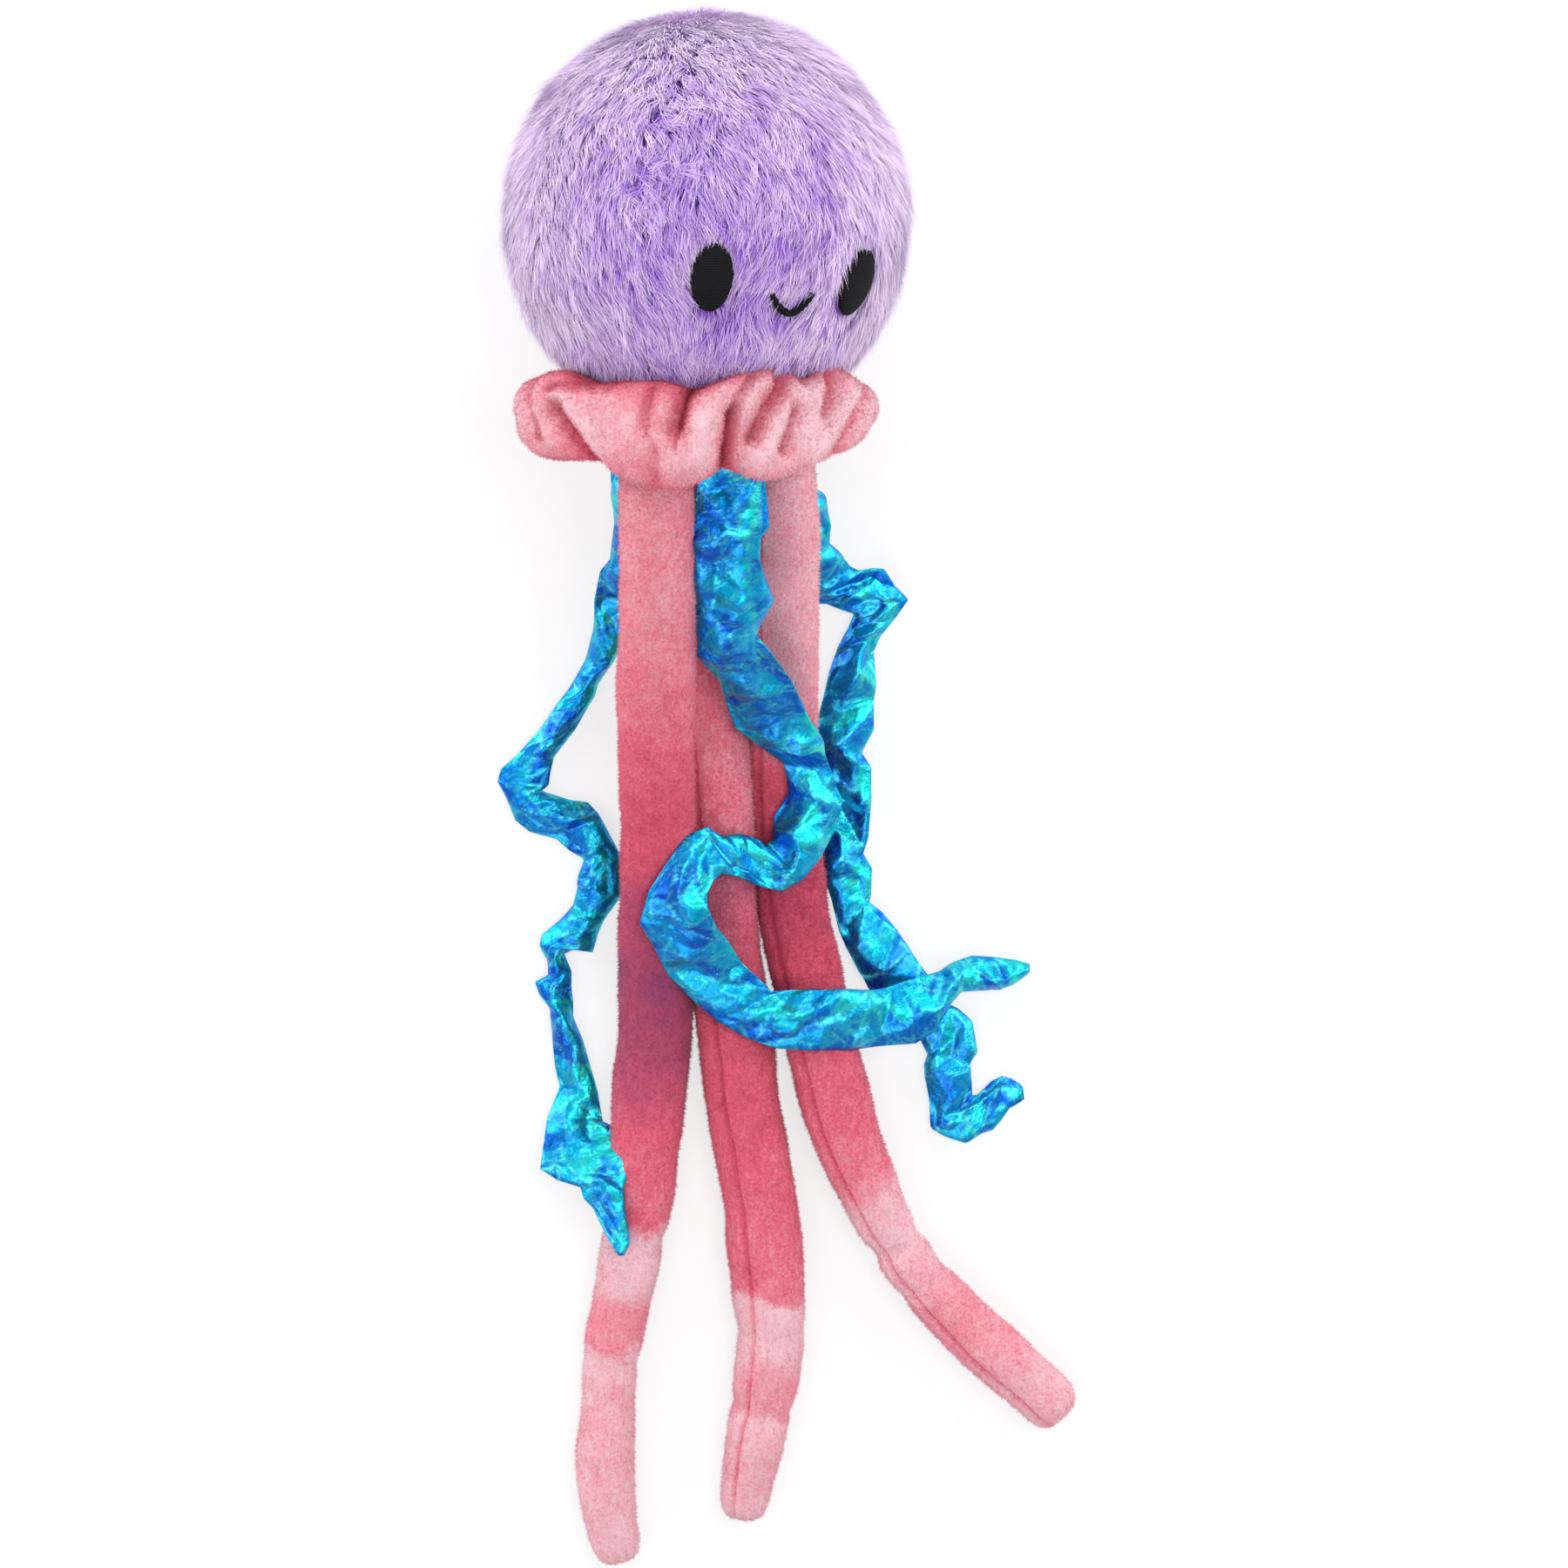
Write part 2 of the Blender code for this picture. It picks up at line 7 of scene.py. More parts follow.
import bmesh
import bpy
import numpy as np
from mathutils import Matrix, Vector, noise
from mathutils.bvhtree import BVHTree
from mathutils.geometry import delaunay_2d_cdt
from mathutils.kdtree import KDTree


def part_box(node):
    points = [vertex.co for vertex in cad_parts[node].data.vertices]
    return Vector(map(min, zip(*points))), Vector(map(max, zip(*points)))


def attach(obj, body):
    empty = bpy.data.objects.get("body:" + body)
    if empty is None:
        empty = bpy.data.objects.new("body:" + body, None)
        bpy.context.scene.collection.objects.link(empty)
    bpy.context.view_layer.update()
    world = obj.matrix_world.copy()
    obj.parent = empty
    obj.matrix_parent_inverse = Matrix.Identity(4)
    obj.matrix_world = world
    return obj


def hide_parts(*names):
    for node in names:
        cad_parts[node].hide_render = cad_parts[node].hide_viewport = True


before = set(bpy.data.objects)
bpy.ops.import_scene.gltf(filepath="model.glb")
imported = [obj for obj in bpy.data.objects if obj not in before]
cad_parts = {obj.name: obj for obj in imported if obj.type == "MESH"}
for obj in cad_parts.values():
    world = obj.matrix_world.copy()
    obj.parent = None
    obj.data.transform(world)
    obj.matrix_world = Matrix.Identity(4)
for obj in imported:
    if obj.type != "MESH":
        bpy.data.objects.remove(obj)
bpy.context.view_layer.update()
bpy.ops.object.select_all(action="DESELECT")

# The photograph's view: straight down on the toy from 2 m above, leaning 8 degrees towards its
# feet, and framing a square 522 mm wide at the height of its legs.
CAMERA_TILT = math.radians(8)
CAMERA_AWAY = 2.0
VIEW_WIDTH = 0.522
VIEW_MIDDLE = Vector((0.025, -0.192, 0.030))
CAMERA_REACH = Vector((0, math.sin(CAMERA_TILT), math.cos(CAMERA_TILT))) * CAMERA_AWAY

bpy.ops.object.camera_add(location=VIEW_MIDDLE + CAMERA_REACH, rotation=(-CAMERA_TILT, 0, 0))
camera = bpy.context.object
camera.name = "camera"
camera.data.lens = camera.data.sensor_width * CAMERA_AWAY / VIEW_WIDTH
bpy.context.scene.camera = camera


# A white studio floor and background with soft lamps: a strong one high on the right of the
# head, a weaker one over the feet on the left that fills the shade, and three low ones that
# light the sides.
MM = 0.001


def colour(red, green, blue):
    """A colour given as it shows on a screen, 0 to 255, in the units that shaders take."""
    shares = [value / 255 for value in (red, green, blue)]
    return (*[s / 12.92 if s <= 0.04045 else ((s + 0.055) / 1.055) ** 2.4 for s in shares], 1.0)


class Value:
    """A number that changes over a surface. Arithmetic on it adds Math nodes to its material."""

    def __init__(self, finish, socket):
        self.finish = finish
        self.socket = socket

    def __add__(self, other):
        return self.finish.sum("ADD", self, other)

    def __sub__(self, other):
        return self.finish.sum("SUBTRACT", self, other)

    def __rsub__(self, other):
        return self.finish.sum("SUBTRACT", other, self)

    def __mul__(self, other):
        return self.finish.sum("MULTIPLY", self, other)

    def __truediv__(self, other):
        return self.finish.sum("DIVIDE", self, other)

    def __pow__(self, other):
        return self.finish.sum("POWER", self, other)

    def clipped(self):
        return self.finish.sum("ADD", self, 0.0, clamp=True)

    def sine(self):
        return self.finish.sum("SINE", self)

    __radd__ = __add__
    __rmul__ = __mul__


class Finish:
    """A material being made: it adds nodes, joins them and sets its shader."""

    def __init__(self, name):
        self.material = bpy.data.materials.new(name)
        self.material.use_nodes = True
        self.nodes = self.material.node_tree.nodes
        self.shader = self.nodes["Principled BSDF"]

    def add(self, kind, settings, inputs, output=0):
        """One more node: its settings come first, then the values or links of its sockets."""
        node = self.nodes.new(kind)
        for name, value in settings.items():
            if name == "stops":
                self.set_stops(node.color_ramp, value)
            else:
                setattr(node, name, value)
        for name, value in inputs.items():
            self.join(value, node.inputs[name])
        return Value(self, node.outputs[output])

    def set_stops(self, ramp, stops):
        while len(ramp.elements) < len(stops):
            ramp.elements.new(1.0)
        for element, (place, shade) in zip(ramp.elements, stops):
            element.position = place
            element.color = shade

    def join(self, value, socket):
        if isinstance(value, Value):
            self.material.node_tree.links.new(value.socket, socket)
        else:
            socket.default_value = value

    def sum(self, operation, first, second=None, clamp=False):
        inputs = {0: first} if second is None else {0: first, 1: second}
        return self.add("ShaderNodeMath", {"operation": operation, "use_clamp": clamp}, inputs)

    def mix(self, share, first, second):
        return self.add("ShaderNodeMix", {"data_type": "RGBA"}, {0: share, 6: first, 7: second}, 2)

    def place(self):
        return self.add("ShaderNodeTexCoord", {}, {}, "Object")

    def marked(self, name, output="Fac"):
        """What the piece's mesh says about each point under a name."""
        return self.add("ShaderNodeAttribute", {"attribute_name": name}, {}, output)

    def split(self, kind, inputs, *outputs):
        """Several outputs of one node, such as the parts of a colour or a direction."""
        first = self.add(kind, {}, inputs, outputs[0])
        return [first] + [Value(self, first.socket.node.outputs[name]) for name in outputs[1:]]

    def cloud(self, size, detail=2.0, stretch=None, warp=0.0):
        """Cloudy noise from 0 to 1, its blobs about as large as the size in metres."""
        where = self.place()
        if stretch:
            where = self.add("ShaderNodeVectorMath", {"operation": "MULTIPLY"}, {0: where, 1: stretch})
        return self.add("ShaderNodeTexNoise", {}, {"Vector": where, "Scale": 1 / size, "Detail": detail,
                                                   "Distortion": warp}, "Fac")

    def cells(self, size, feature="F1"):
        """Distance from the nearest of many scattered points, in spacings of the size in metres."""
        return self.add("ShaderNodeTexVoronoi", {"feature": feature},
                        {"Vector": self.place(), "Scale": 1 / size}, "Distance")

    def ramp(self, value, *stops):
        return self.add("ShaderNodeValToRGB", {"stops": stops}, {"Fac": value}, "Color")

    def bump(self, height, depth):
        return self.add("ShaderNodeBump", {}, {"Distance": depth, "Height": height}, "Normal")

    def set(self, **values):
        """Shader sockets by name, with _ for a space."""
        for name, value in values.items():
            self.join(value, self.shader.inputs[name.replace("_", " ")])
        return self.material


def background(finish, lit, share):
    """Pure white, so much of it as share, where the camera or a reflection sees the surface."""
    ray = finish.add("ShaderNodeLightPath", {}, {}, "Is Camera Ray")
    for name in ("Is Glossy Ray", "Is Transmission Ray"):
        ray = finish.sum("MAXIMUM", ray, finish.add("ShaderNodeLightPath", {}, {}, name))
    white = finish.add("ShaderNodeEmission", {}, {"Color": (1, 1, 1, 1), "Strength": 1.0})
    return finish.add("ShaderNodeMixShader", {}, {0: ray * share, 1: lit, 2: white})


FLOOR_WIDTH = 12.0
FLOOR_STEPS = 8
FLOOR_WHITE = 0.7
PAPER_GRAIN = 2 * MM

bpy.ops.mesh.primitive_grid_add(x_subdivisions=FLOOR_STEPS, y_subdivisions=FLOOR_STEPS, size=FLOOR_WIDTH)
floor = bpy.context.object
floor.name = "studio_floor"
paper = Finish("studio_paper")
paper.set(Base_Color=(0.86, 0.86, 0.87, 1), Roughness=0.9, Specular_IOR_Level=0.1,
          Normal=paper.bump(paper.cloud(PAPER_GRAIN), 0.02 * MM))
surface = background(paper, Value(paper, paper.shader.outputs[0]), FLOOR_WHITE)
paper.join(surface, paper.nodes["Material Output"].inputs["Surface"])
floor.data.materials.append(paper.material)

WORLD_LIGHT = 0.58
world = bpy.data.worlds.new("studio")
bpy.context.scene.world = world
world.use_nodes = True
sky = world.node_tree.nodes["Background"]
sky.inputs["Color"].default_value = (1, 1, 1, 1)
seen = world.node_tree.nodes.new("ShaderNodeLightPath")
level = world.node_tree.nodes.new("ShaderNodeMapRange")
level.inputs["To Min"].default_value = WORLD_LIGHT
world.node_tree.links.new(seen.outputs["Is Camera Ray"], level.inputs["Value"])
world.node_tree.links.new(level.outputs["Result"], sky.inputs["Strength"])

# Lamps: where, how wide, and their power in watts
LAMPS = {"key_lamp": ((0.5, 0.15, 1.65), 0.7, 10.5), "fill_lamp": ((-0.4, -0.95, 1.2), 0.9, 5.5),
         "left_lamp": ((-1.15, 0.3, 0.4), 0.7, 8.6), "right_lamp": ((1.2, 0.25, 0.4), 0.7, 6.7),
         "top_lamp": ((0.0, 1.3, 0.55), 0.7, 11.5)}
TOY_MIDDLE = Vector((0.02, -0.2, 0.03))
for name, (spot, width, power) in LAMPS.items():
    bpy.ops.object.light_add(type="AREA", location=spot)
    lamp = bpy.context.object
    lamp.name = name
    lamp.data.size = width
    lamp.data.energy = power
    lamp.rotation_euler = (TOY_MIDDLE - lamp.location).to_track_quat("-Z", "Y").to_euler()

bpy.context.scene.view_settings.view_transform = "Standard"


# The head: a ball sewn from long-pile faux fur and stuffed firm, a little narrower at the
# crown and fuller at the neck. This is the knitted backing that the pile stands on.
CROWN_DRAWN_IN = 0.023
JOWL_FULLNESS = 0.07
PILE_DEPTH = 3.4 * MM
HEAD_LOW, HEAD_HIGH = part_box("head_cover")
HEAD_RADIUS = (HEAD_HIGH.x - HEAD_LOW.x) / 2
HEAD_MIDDLE = np.array((0.0, 0.0, HEAD_HIGH.z - HEAD_RADIUS))
NECK_Y = HEAD_LOW.y
NECK_RADIUS = (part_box("neck_patch")[1].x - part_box("neck_patch")[0].x) / 2
REST_HEIGHT = 0.4 * MM
BALL_SEGMENTS = 96
BALL_RINGS = 64
SHARP_EDGE = math.radians(40)


def head_reach(lean):
    """Distance from the head's middle to its pile, where 1 leans to the crown, -1 to the neck."""
    fuller = JOWL_FULLNESS * np.maximum(-lean, 0)
    return HEAD_RADIUS * (1 - CROWN_DRAWN_IN * np.maximum(lean, 0) + fuller)


def coordinates(mesh):
    points = np.empty(len(mesh.vertices) * 3)
    mesh.vertices.foreach_get("co", points)
    return points.reshape(-1, 3)


def put_back(mesh, points):
    mesh.vertices.foreach_set("co", points.astype(np.float32).ravel())
    mesh.update()


def settle(piece, name, slot, material, *nodes):
    """Name a finished piece, give it its material, and tie it to the toy and the nodes it replaces."""
    piece.name = name
    piece.data.name = name
    piece.data.materials.clear()
    piece.data.materials.append(material)
    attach(piece, "root")
    if nodes:
        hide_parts(*nodes)


bpy.ops.mesh.primitive_uv_sphere_add(segments=BALL_SEGMENTS, ring_count=BALL_RINGS, radius=HEAD_RADIUS,
                                     rotation=(-math.pi / 2, 0, 0))
ball = bpy.context.object
bpy.ops.object.transform_apply()
directions = coordinates(ball.data) / HEAD_RADIUS
backing = directions * (head_reach(directions[:, 1:2]) - PILE_DEPTH) + HEAD_MIDDLE
put_back(ball.data, backing)
bpy.ops.object.mode_set(mode="EDIT")
bpy.ops.mesh.select_all(action="SELECT")
bpy.ops.mesh.bisect(plane_co=(0, NECK_Y, 0), plane_no=(0, -1, 0), clear_outer=True, use_fill=True)
bpy.ops.mesh.select_all(action="SELECT")
bpy.ops.mesh.bisect(plane_co=(0, 0, REST_HEIGHT), plane_no=(0, 0, -1), clear_outer=True, use_fill=True)
bpy.ops.mesh.select_all(action="SELECT")
bpy.ops.mesh.normals_make_consistent(inside=False)
bpy.ops.object.mode_set(mode="OBJECT")
bpy.ops.object.shade_smooth_by_angle(angle=SHARP_EDGE)

PILE_ROOT = colour(118, 62, 190)
PILE_MIDDLE = colour(172, 124, 216)
PILE_TIP = colour(232, 214, 240)
KNIT_STITCH = 0.9 * MM

knit = Finish("pile_backing")
knit.set(Base_Color=knit.mix(knit.cloud(1.2 * MM), PILE_ROOT, PILE_MIDDLE), Roughness=0.95,
         Normal=knit.bump(knit.cells(KNIT_STITCH), 0.4 * MM))
settle(ball, "head_ball", "lavender_pile", knit.material, "head_cover")


# The pile of the head: fine acrylic strands about 10 mm long, brushed down towards the face in
# small locks that part into deeper streaks, with two tangles, and curlier under the face.
STRANDS = 150000
STRAND_LENGTH = 10.0 * MM
STRAND_WIDTH = 0.31 * MM
STRAND_STEPS = (0.0, 0.45, 1.0)
STRAND_TAPER = (1.0, 0.85, 0.0)
STRAND_LEAN = (42, 76)
LOCK_SPACING = 2.5 * MM
STRAND_SHORTEST = 1.5 * MM
ROOT_SUNK = 0.2 * MM
ROOT_HEIGHT = 1.2 * MM
NECK_OVERHANG = 2.5 * MM
DARK_LOCKS = 0.08
# How much paler the pile is painted towards the sides and back of the head: painted rim light
PAINTED_RIM_LIGHT = 1.15
# Patches in which the locks sway together, and in which they keep one shade
SWAY_PATCH = 17 * MM
SHADE_PATCH = 10 * MM
# How much single locks and strands differ: turns in radians, lifts in degrees, the rest as shares
LOCK_SPREAD = {"sway": 0.13, "tangled": 0.75, "length": 0.06, "shade": 0.12, "lift": 3}
STRAND_SPREAD = {"curl": 0.16, "length": 0.14, "bend": 0.25, "lean": 5}
# Under the face the pile is more swayed, curlier, shorter and more upright, and it is painted darker there
# as shade
CHIN = {"sway": 1.6, "curl": 0.3, "shorter": 0.32, "upright": 12, "painted_shade": 0.4}
# How far strands run together towards the tip of their lock: usual share, how it varies, the most
DRAWN = (0.14, 0.12, 0.45)
LOCK_TIP = 0.78
# What keeps the stitches of the face clear: shares of an eye's size, and widths beside the mouth
EYE_ROOTS = 0.97
EYE_FRINGE = 0.87
EYE_SHORN = (1.5, 0.62)
MOUTH_ROOTS = 1.1 * MM
MOUTH_FRINGE = 0.8 * MM
FRINGE_CUT = 0.72
# How the pile lies on the side that faces up: where, as (x, y) in mm, and which way, as (x, y)
COMBED = ((-34, 48, 0.1, -1), (-42, 40, 0.15, -1), (-47, 25, 0.42, -0.9), (-40, 18, 0.5, -0.87),
          (-34, 0, 0.65, -0.75), (-48, 0, 0.62, -0.78), (-29, 30, 0.25, -0.97), (-22, -8, 0.25, -1),
          (-10, -8, 0.33, -0.94), (2, 14, 0.15, -1), (0, 40, 0.1, -1), (-39, -13, 0.6, -0.8),
          (-50, -28, 0.5, -0.85), (-15, -20, 0.42, -0.9), (7, 35, 0.4, -0.9), (22, 50, 0.35, -0.92),
          (28, 34, 0.3, -0.95), (18, 6, -0.1, -1), (31, 18, -0.12, -1), (45, 8, 0, -1), (52, 26, 0.1, -1),
          (52, -4, -0.4, -0.9), (62, 5, -0.65, -0.75), (32, -11, -0.45, -0.88), (58, -12, -0.7, -0.7),
          (56, -34, -0.6, -0.8), (10, -35, 0, -1), (-30, -45, 0.2, -1))
COMB_REACH = 13 * MM
# Middles of the tangles, in mm, and how far round them the locks are turned about
TANGLES = ((-10, 37), (-16, 15))
TANGLE_REACH = 9 * MM
chance = np.random.default_rng(12)


def unit(vectors):
    return vectors / np.maximum(np.linalg.norm(vectors, axis=1, keepdims=True), 1e-9)


def spread(count, crooked):
    """Directions spaced evenly over a ball, each moved about by a share of the spacing."""
    index = np.arange(count) + 0.5
    lean = 1 - 2 * index / count
    turn = math.pi * (1 + math.sqrt(5)) * index
    ring = np.sqrt(1 - lean ** 2)
    even = np.stack((ring * np.sin(turn), lean, ring * np.cos(turn)), axis=1)
    return unit(even + chance.normal(size=(count, 3)) * crooked * math.sqrt(4 * math.pi / count))


def combed(outward):
    """Which way the pile lies along the surface at points facing outward."""
    places = outward * HEAD_RADIUS
    way = np.tile((0.0, -1.0, 0.0), (len(outward), 1)) * 0.02
    way[:, 0] -= 0.006 * outward[:, 0]
    facing = np.clip(outward[:, 2] * 1.6 + 0.35, 0, 1)
    for x, y, across, along in COMBED:
        away = ((places[:, 0] - x * MM) ** 2 + (places[:, 1] - y * MM) ** 2) / COMB_REACH ** 2
        weight = np.exp(-away) * facing
        way[:, 0] += across * weight
        way[:, 1] += along * weight
    return unit(way - outward * np.sum(way * outward, axis=1, keepdims=True))


def wisps(points, size):
    """Smooth noise from -1 to 1 at each point."""
    return np.array([noise.noise(Vector(point) / size) for point in points])


def turned(ways, axes, angles):
    """Turn each direction about its own axis."""
    cosine = np.cos(angles)[:, None]
    sine = np.sin(angles)[:, None]
    return ways * cosine + np.cross(axes, ways) * sine


def placed(name, mesh):
    """A mesh as a smooth piece of the scene."""
    mesh.shade_smooth()
    piece = bpy.data.objects.new(name, mesh)
    bpy.context.collection.objects.link(piece)
    return piece


def grow(name, spines, width, tapers, outward, cards):
    """Blades along spines of points, each with its own cell in the map and its own colour card.

    spines has the shape (strands, points, 3). The last point is the blade's pointed tip.
    """
    strands, rows = spines.shape[:2]
    along = np.gradient(spines, axis=1)
    across = np.cross(along, outward[:, None, :])
    across /= np.maximum(np.linalg.norm(across, axis=2, keepdims=True), 1e-9)
    half = across * (width / 2) * np.array(tapers)[None, :, None]
    sides = np.stack((spines + half, spines - half), axis=2)[:, :-1]
    points = np.concatenate((sides.reshape(strands, -1, 3), spines[:, -1:]), axis=1)
    each = 2 * (rows - 1) + 1
    quads = [(2 * i + 1, 2 * i, 2 * i + 2, 2 * i + 3) for i in range(rows - 2)]
    last = (2 * rows - 3, 2 * rows - 4, 2 * rows - 2)
    pattern = np.array([corner for quad in quads for corner in quad] + list(last))
    corners = (np.arange(strands)[:, None] * each + pattern[None, :]).ravel()
    totals = np.tile([4] * len(quads) + [3], strands)
    mesh = bpy.data.meshes.new(name)
    mesh.vertices.add(strands * each)
    mesh.loops.add(len(corners))
    mesh.polygons.add(len(totals))
    mesh.vertices.foreach_set("co", points.astype(np.float32).ravel())
    mesh.loops.foreach_set("vertex_index", corners.astype(np.int32))
    starts = np.concatenate(((0,), np.cumsum(totals)[:-1]))
    mesh.polygons.foreach_set("loop_start", starts.astype(np.int32))
    mesh.update(calc_edges=True)

    columns = math.ceil(math.sqrt(strands))
    cell = np.stack((np.arange(strands) % columns, np.arange(strands) // columns), axis=1)
    shares = np.array([[0.15 + 0.7 * side, 0.08 + 0.84 * row / (rows - 1)]
                       for row in range(rows - 1) for side in (0, 1)] + [[0.5, 0.92]])
    spots = (cell[:, None, :] + shares[None, :, :]) / columns
    layer = mesh.uv_layers.new(name="OFBake")
    layer.data.foreach_set("uv", spots.reshape(-1, 2)[corners].astype(np.float32).ravel())

    height = np.array([row / (rows - 1) for row in range(rows - 1) for side in (0, 1)] + [1.0])
    card = np.empty((strands, each, 4))
    card[:, :, 0] = height[None, :]
    card[:, :, 1:3] = cards[:, None, :]
    card[:, :, 3] = 1
    attribute = mesh.color_attributes.new("strand", "FLOAT_COLOR", "POINT")
    attribute.data.foreach_set("color", card.astype(np.float32).ravel())
    return placed(name, mesh)


def on_head(turn, drop, lift):
    """A point above the head's pile, by its turn to the side and drop below the equator."""
    reach = head_reach(-math.sin(drop)) + lift
    ring = reach * math.cos(drop)
    return Vector((ring * math.sin(turn), -reach * math.sin(drop), HEAD_MIDDLE[2] + ring * math.cos(turn)))


# The face's places, which the pile has to leave free: (turn, drop, roll) in degrees
EYES = {"eye_left": (2.2, 16.0, 7.0), "eye_right": (49.8, 18.5, 13.0)}
EYE_WIDTH = 13.0 * MM
EYE_HEIGHT = 21.5 * MM
MOUTH_TURN = 25.8
MOUTH_DROP = 23.2
MOUTH_WIDTH = 13.6 * MM
MOUTH_DEPTH = 6.2 * MM


def face_place(points):
    """Turn to the side and drop below the equator of points near the head, in radians."""
    away = points - HEAD_MIDDLE
    turn = np.arctan2(away[..., 0], away[..., 2])
    drop = np.arcsin(-away[..., 1] / np.linalg.norm(away, axis=-1))
    return turn, drop


def inside_eye(points, share):
    """Which points lie over an eye that is drawn smaller or larger by the share."""
    turn, drop = face_place(points)
    found = np.zeros(points.shape[:-1], dtype=bool)
    for place_turn, place_drop, roll in EYES.values():
        across = (turn - math.radians(place_turn)) * HEAD_RADIUS * math.cos(math.radians(place_drop))
        up = (math.radians(place_drop) - drop) * HEAD_RADIUS
        cosine, sine = math.cos(math.radians(roll)), math.sin(math.radians(roll))
        level = across * cosine - up * sine
        rise = across * sine + up * cosine
        found |= (level / (EYE_WIDTH / 2)) ** 2 + (rise / (EYE_HEIGHT / 2)) ** 2 < share ** 2
    return found


def near_mouth(points, width):
    """Which points lie within the width of the smile's thread."""
    turn, drop = face_place(points)
    share = (turn - math.radians(MOUTH_TURN)) * HEAD_RADIUS * math.cos(math.radians(MOUTH_DROP))
    share = share / (MOUTH_WIDTH / 2)
    below = (drop - math.radians(MOUTH_DROP)) * HEAD_RADIUS - MOUTH_DEPTH * (0.5 - share ** 2)
    slope = np.sqrt(1 + (2 * share * MOUTH_DEPTH / (MOUTH_WIDTH / 2)) ** 2)
    return (np.abs(below) / slope < width) & (np.abs(share) < 1.02)


def head_strands():
    """Roots, spines, facing and colour cards of all the strands of the head."""
    facing = spread(STRANDS, 0.35)
    roots = facing * (head_reach(facing[:, 1:2]) - PILE_DEPTH - ROOT_SUNK) + HEAD_MIDDLE
    keep = (roots[:, 1] > NECK_Y + 0.5 * MM) & (roots[:, 2] > ROOT_HEIGHT)
    keep &= ~inside_eye(roots, EYE_ROOTS) & ~near_mouth(roots, MOUTH_ROOTS)
    facing, roots = facing[keep], roots[keep]

    centres = spread(int(4 * math.pi * (HEAD_RADIUS / LOCK_SPACING) ** 2), 0.5)
    tree = KDTree(len(centres))
    for index, centre in enumerate(centres):
        tree.insert(Vector(centre), index)
    tree.balance()
    lock = np.array([tree.find(Vector(direction))[1] for direction in facing])
    lock_spots = centres * HEAD_RADIUS
    sway = np.full(len(centres), LOCK_SPREAD["sway"])
    for spot in TANGLES:
        near = np.linalg.norm(lock_spots[:, :2] - np.array(spot) * MM, axis=1) / TANGLE_REACH
        sway += LOCK_SPREAD["tangled"] * np.exp(-near ** 2) * (lock_spots[:, 2] > 0)
    lock_turn = wisps(lock_spots, SWAY_PATCH) * 0.45 + chance.normal(size=len(centres)) * sway
    lock_length = 1 + chance.normal(size=len(centres)) * LOCK_SPREAD["length"]
    lock_shade = 0.6 + 0.4 * wisps(lock_spots, SHADE_PATCH)
    lock_shade = lock_shade + chance.normal(size=len(centres)) * LOCK_SPREAD["shade"]
    lock_shade -= 0.8 * (chance.random(len(centres)) < DARK_LOCKS)
    lock_lift = chance.normal(size=len(centres)) * LOCK_SPREAD["lift"]

    chin = np.clip((-facing[:, 1] - 0.5) / 0.3, 0, 1) * np.clip(facing[:, 2] * 2, 0, 1)
    count = len(facing)
    way = combed(facing)
    curl = chance.normal(size=count) * (STRAND_SPREAD["curl"] + CHIN["curl"] * chin)
    way = turned(way, facing, lock_turn[lock] * (1 + CHIN["sway"] * chin) + curl)
    length = 1 + chance.normal(size=count) * STRAND_SPREAD["length"]
    length = STRAND_LENGTH * lock_length[lock] * length * (1 - CHIN["shorter"] * chin)
    length = length * np.where(inside_eye(roots, EYE_SHORN[0]), EYE_SHORN[1], 1.0)
    side = np.cross(facing, way)
    bend = (chance.normal(size=count) + np.sign(lock_turn[lock])) * STRAND_SPREAD["bend"]
    spine = [roots]
    for step, angle in enumerate(STRAND_LEAN):
        run = (STRAND_STEPS[step + 1] - STRAND_STEPS[step]) * length
        lean = angle + lock_lift[lock] - CHIN["upright"] * chin
        lean = np.radians(lean + chance.normal(size=count) * STRAND_SPREAD["lean"])
        ahead = facing * np.cos(lean)[:, None] + way * np.sin(lean)[:, None]
        ahead = ahead + side * (bend * step * 0.5)[:, None]
        spine.append(spine[-1] + unit(ahead) * run[:, None])
    spines = np.stack(spine, axis=1)

    # Each lock's strands run together towards its own tip
    middle_way = turned(combed(centres), centres, lock_turn)
    lock_tip = centres * HEAD_RADIUS + HEAD_MIDDLE + middle_way * (STRAND_LENGTH * LOCK_TIP)
    draw = np.clip(DRAWN[0] + chance.normal(size=count) * DRAWN[1], 0, DRAWN[2])
    for row, share in enumerate(STRAND_STEPS):
        pull = (lock_tip[lock] - spines[:, -1]) * (draw * share ** 2 * 0.8)[:, None]
        pull -= facing * np.sum(pull * facing, axis=1, keepdims=True)
        spines[:, row] += pull

    # Strands over the stitches are drawn back until they only fringe them
    for cut in range(8):
        over = inside_eye(spines, EYE_FRINGE).any(axis=1)
        over |= near_mouth(spines[:, 1:], MOUTH_FRINGE).any(axis=1)
        spines[over] = roots[over][:, None] + (spines[over] - roots[over][:, None]) * FRINGE_CUT
    short = np.linalg.norm(spines[:, -1] - spines[:, 0], axis=1) < STRAND_SHORTEST
    # None reaches into the floor, or past the patch that closes the neck
    spines[..., 2] = np.maximum(spines[..., 2], REST_HEIGHT)
    inner = np.linalg.norm((spines - HEAD_MIDDLE)[..., [0, 2]], axis=-1) < NECK_RADIUS + 1 * MM
    spines[..., 1] = np.where(inner, np.maximum(spines[..., 1], NECK_Y - NECK_OVERHANG), spines[..., 1])
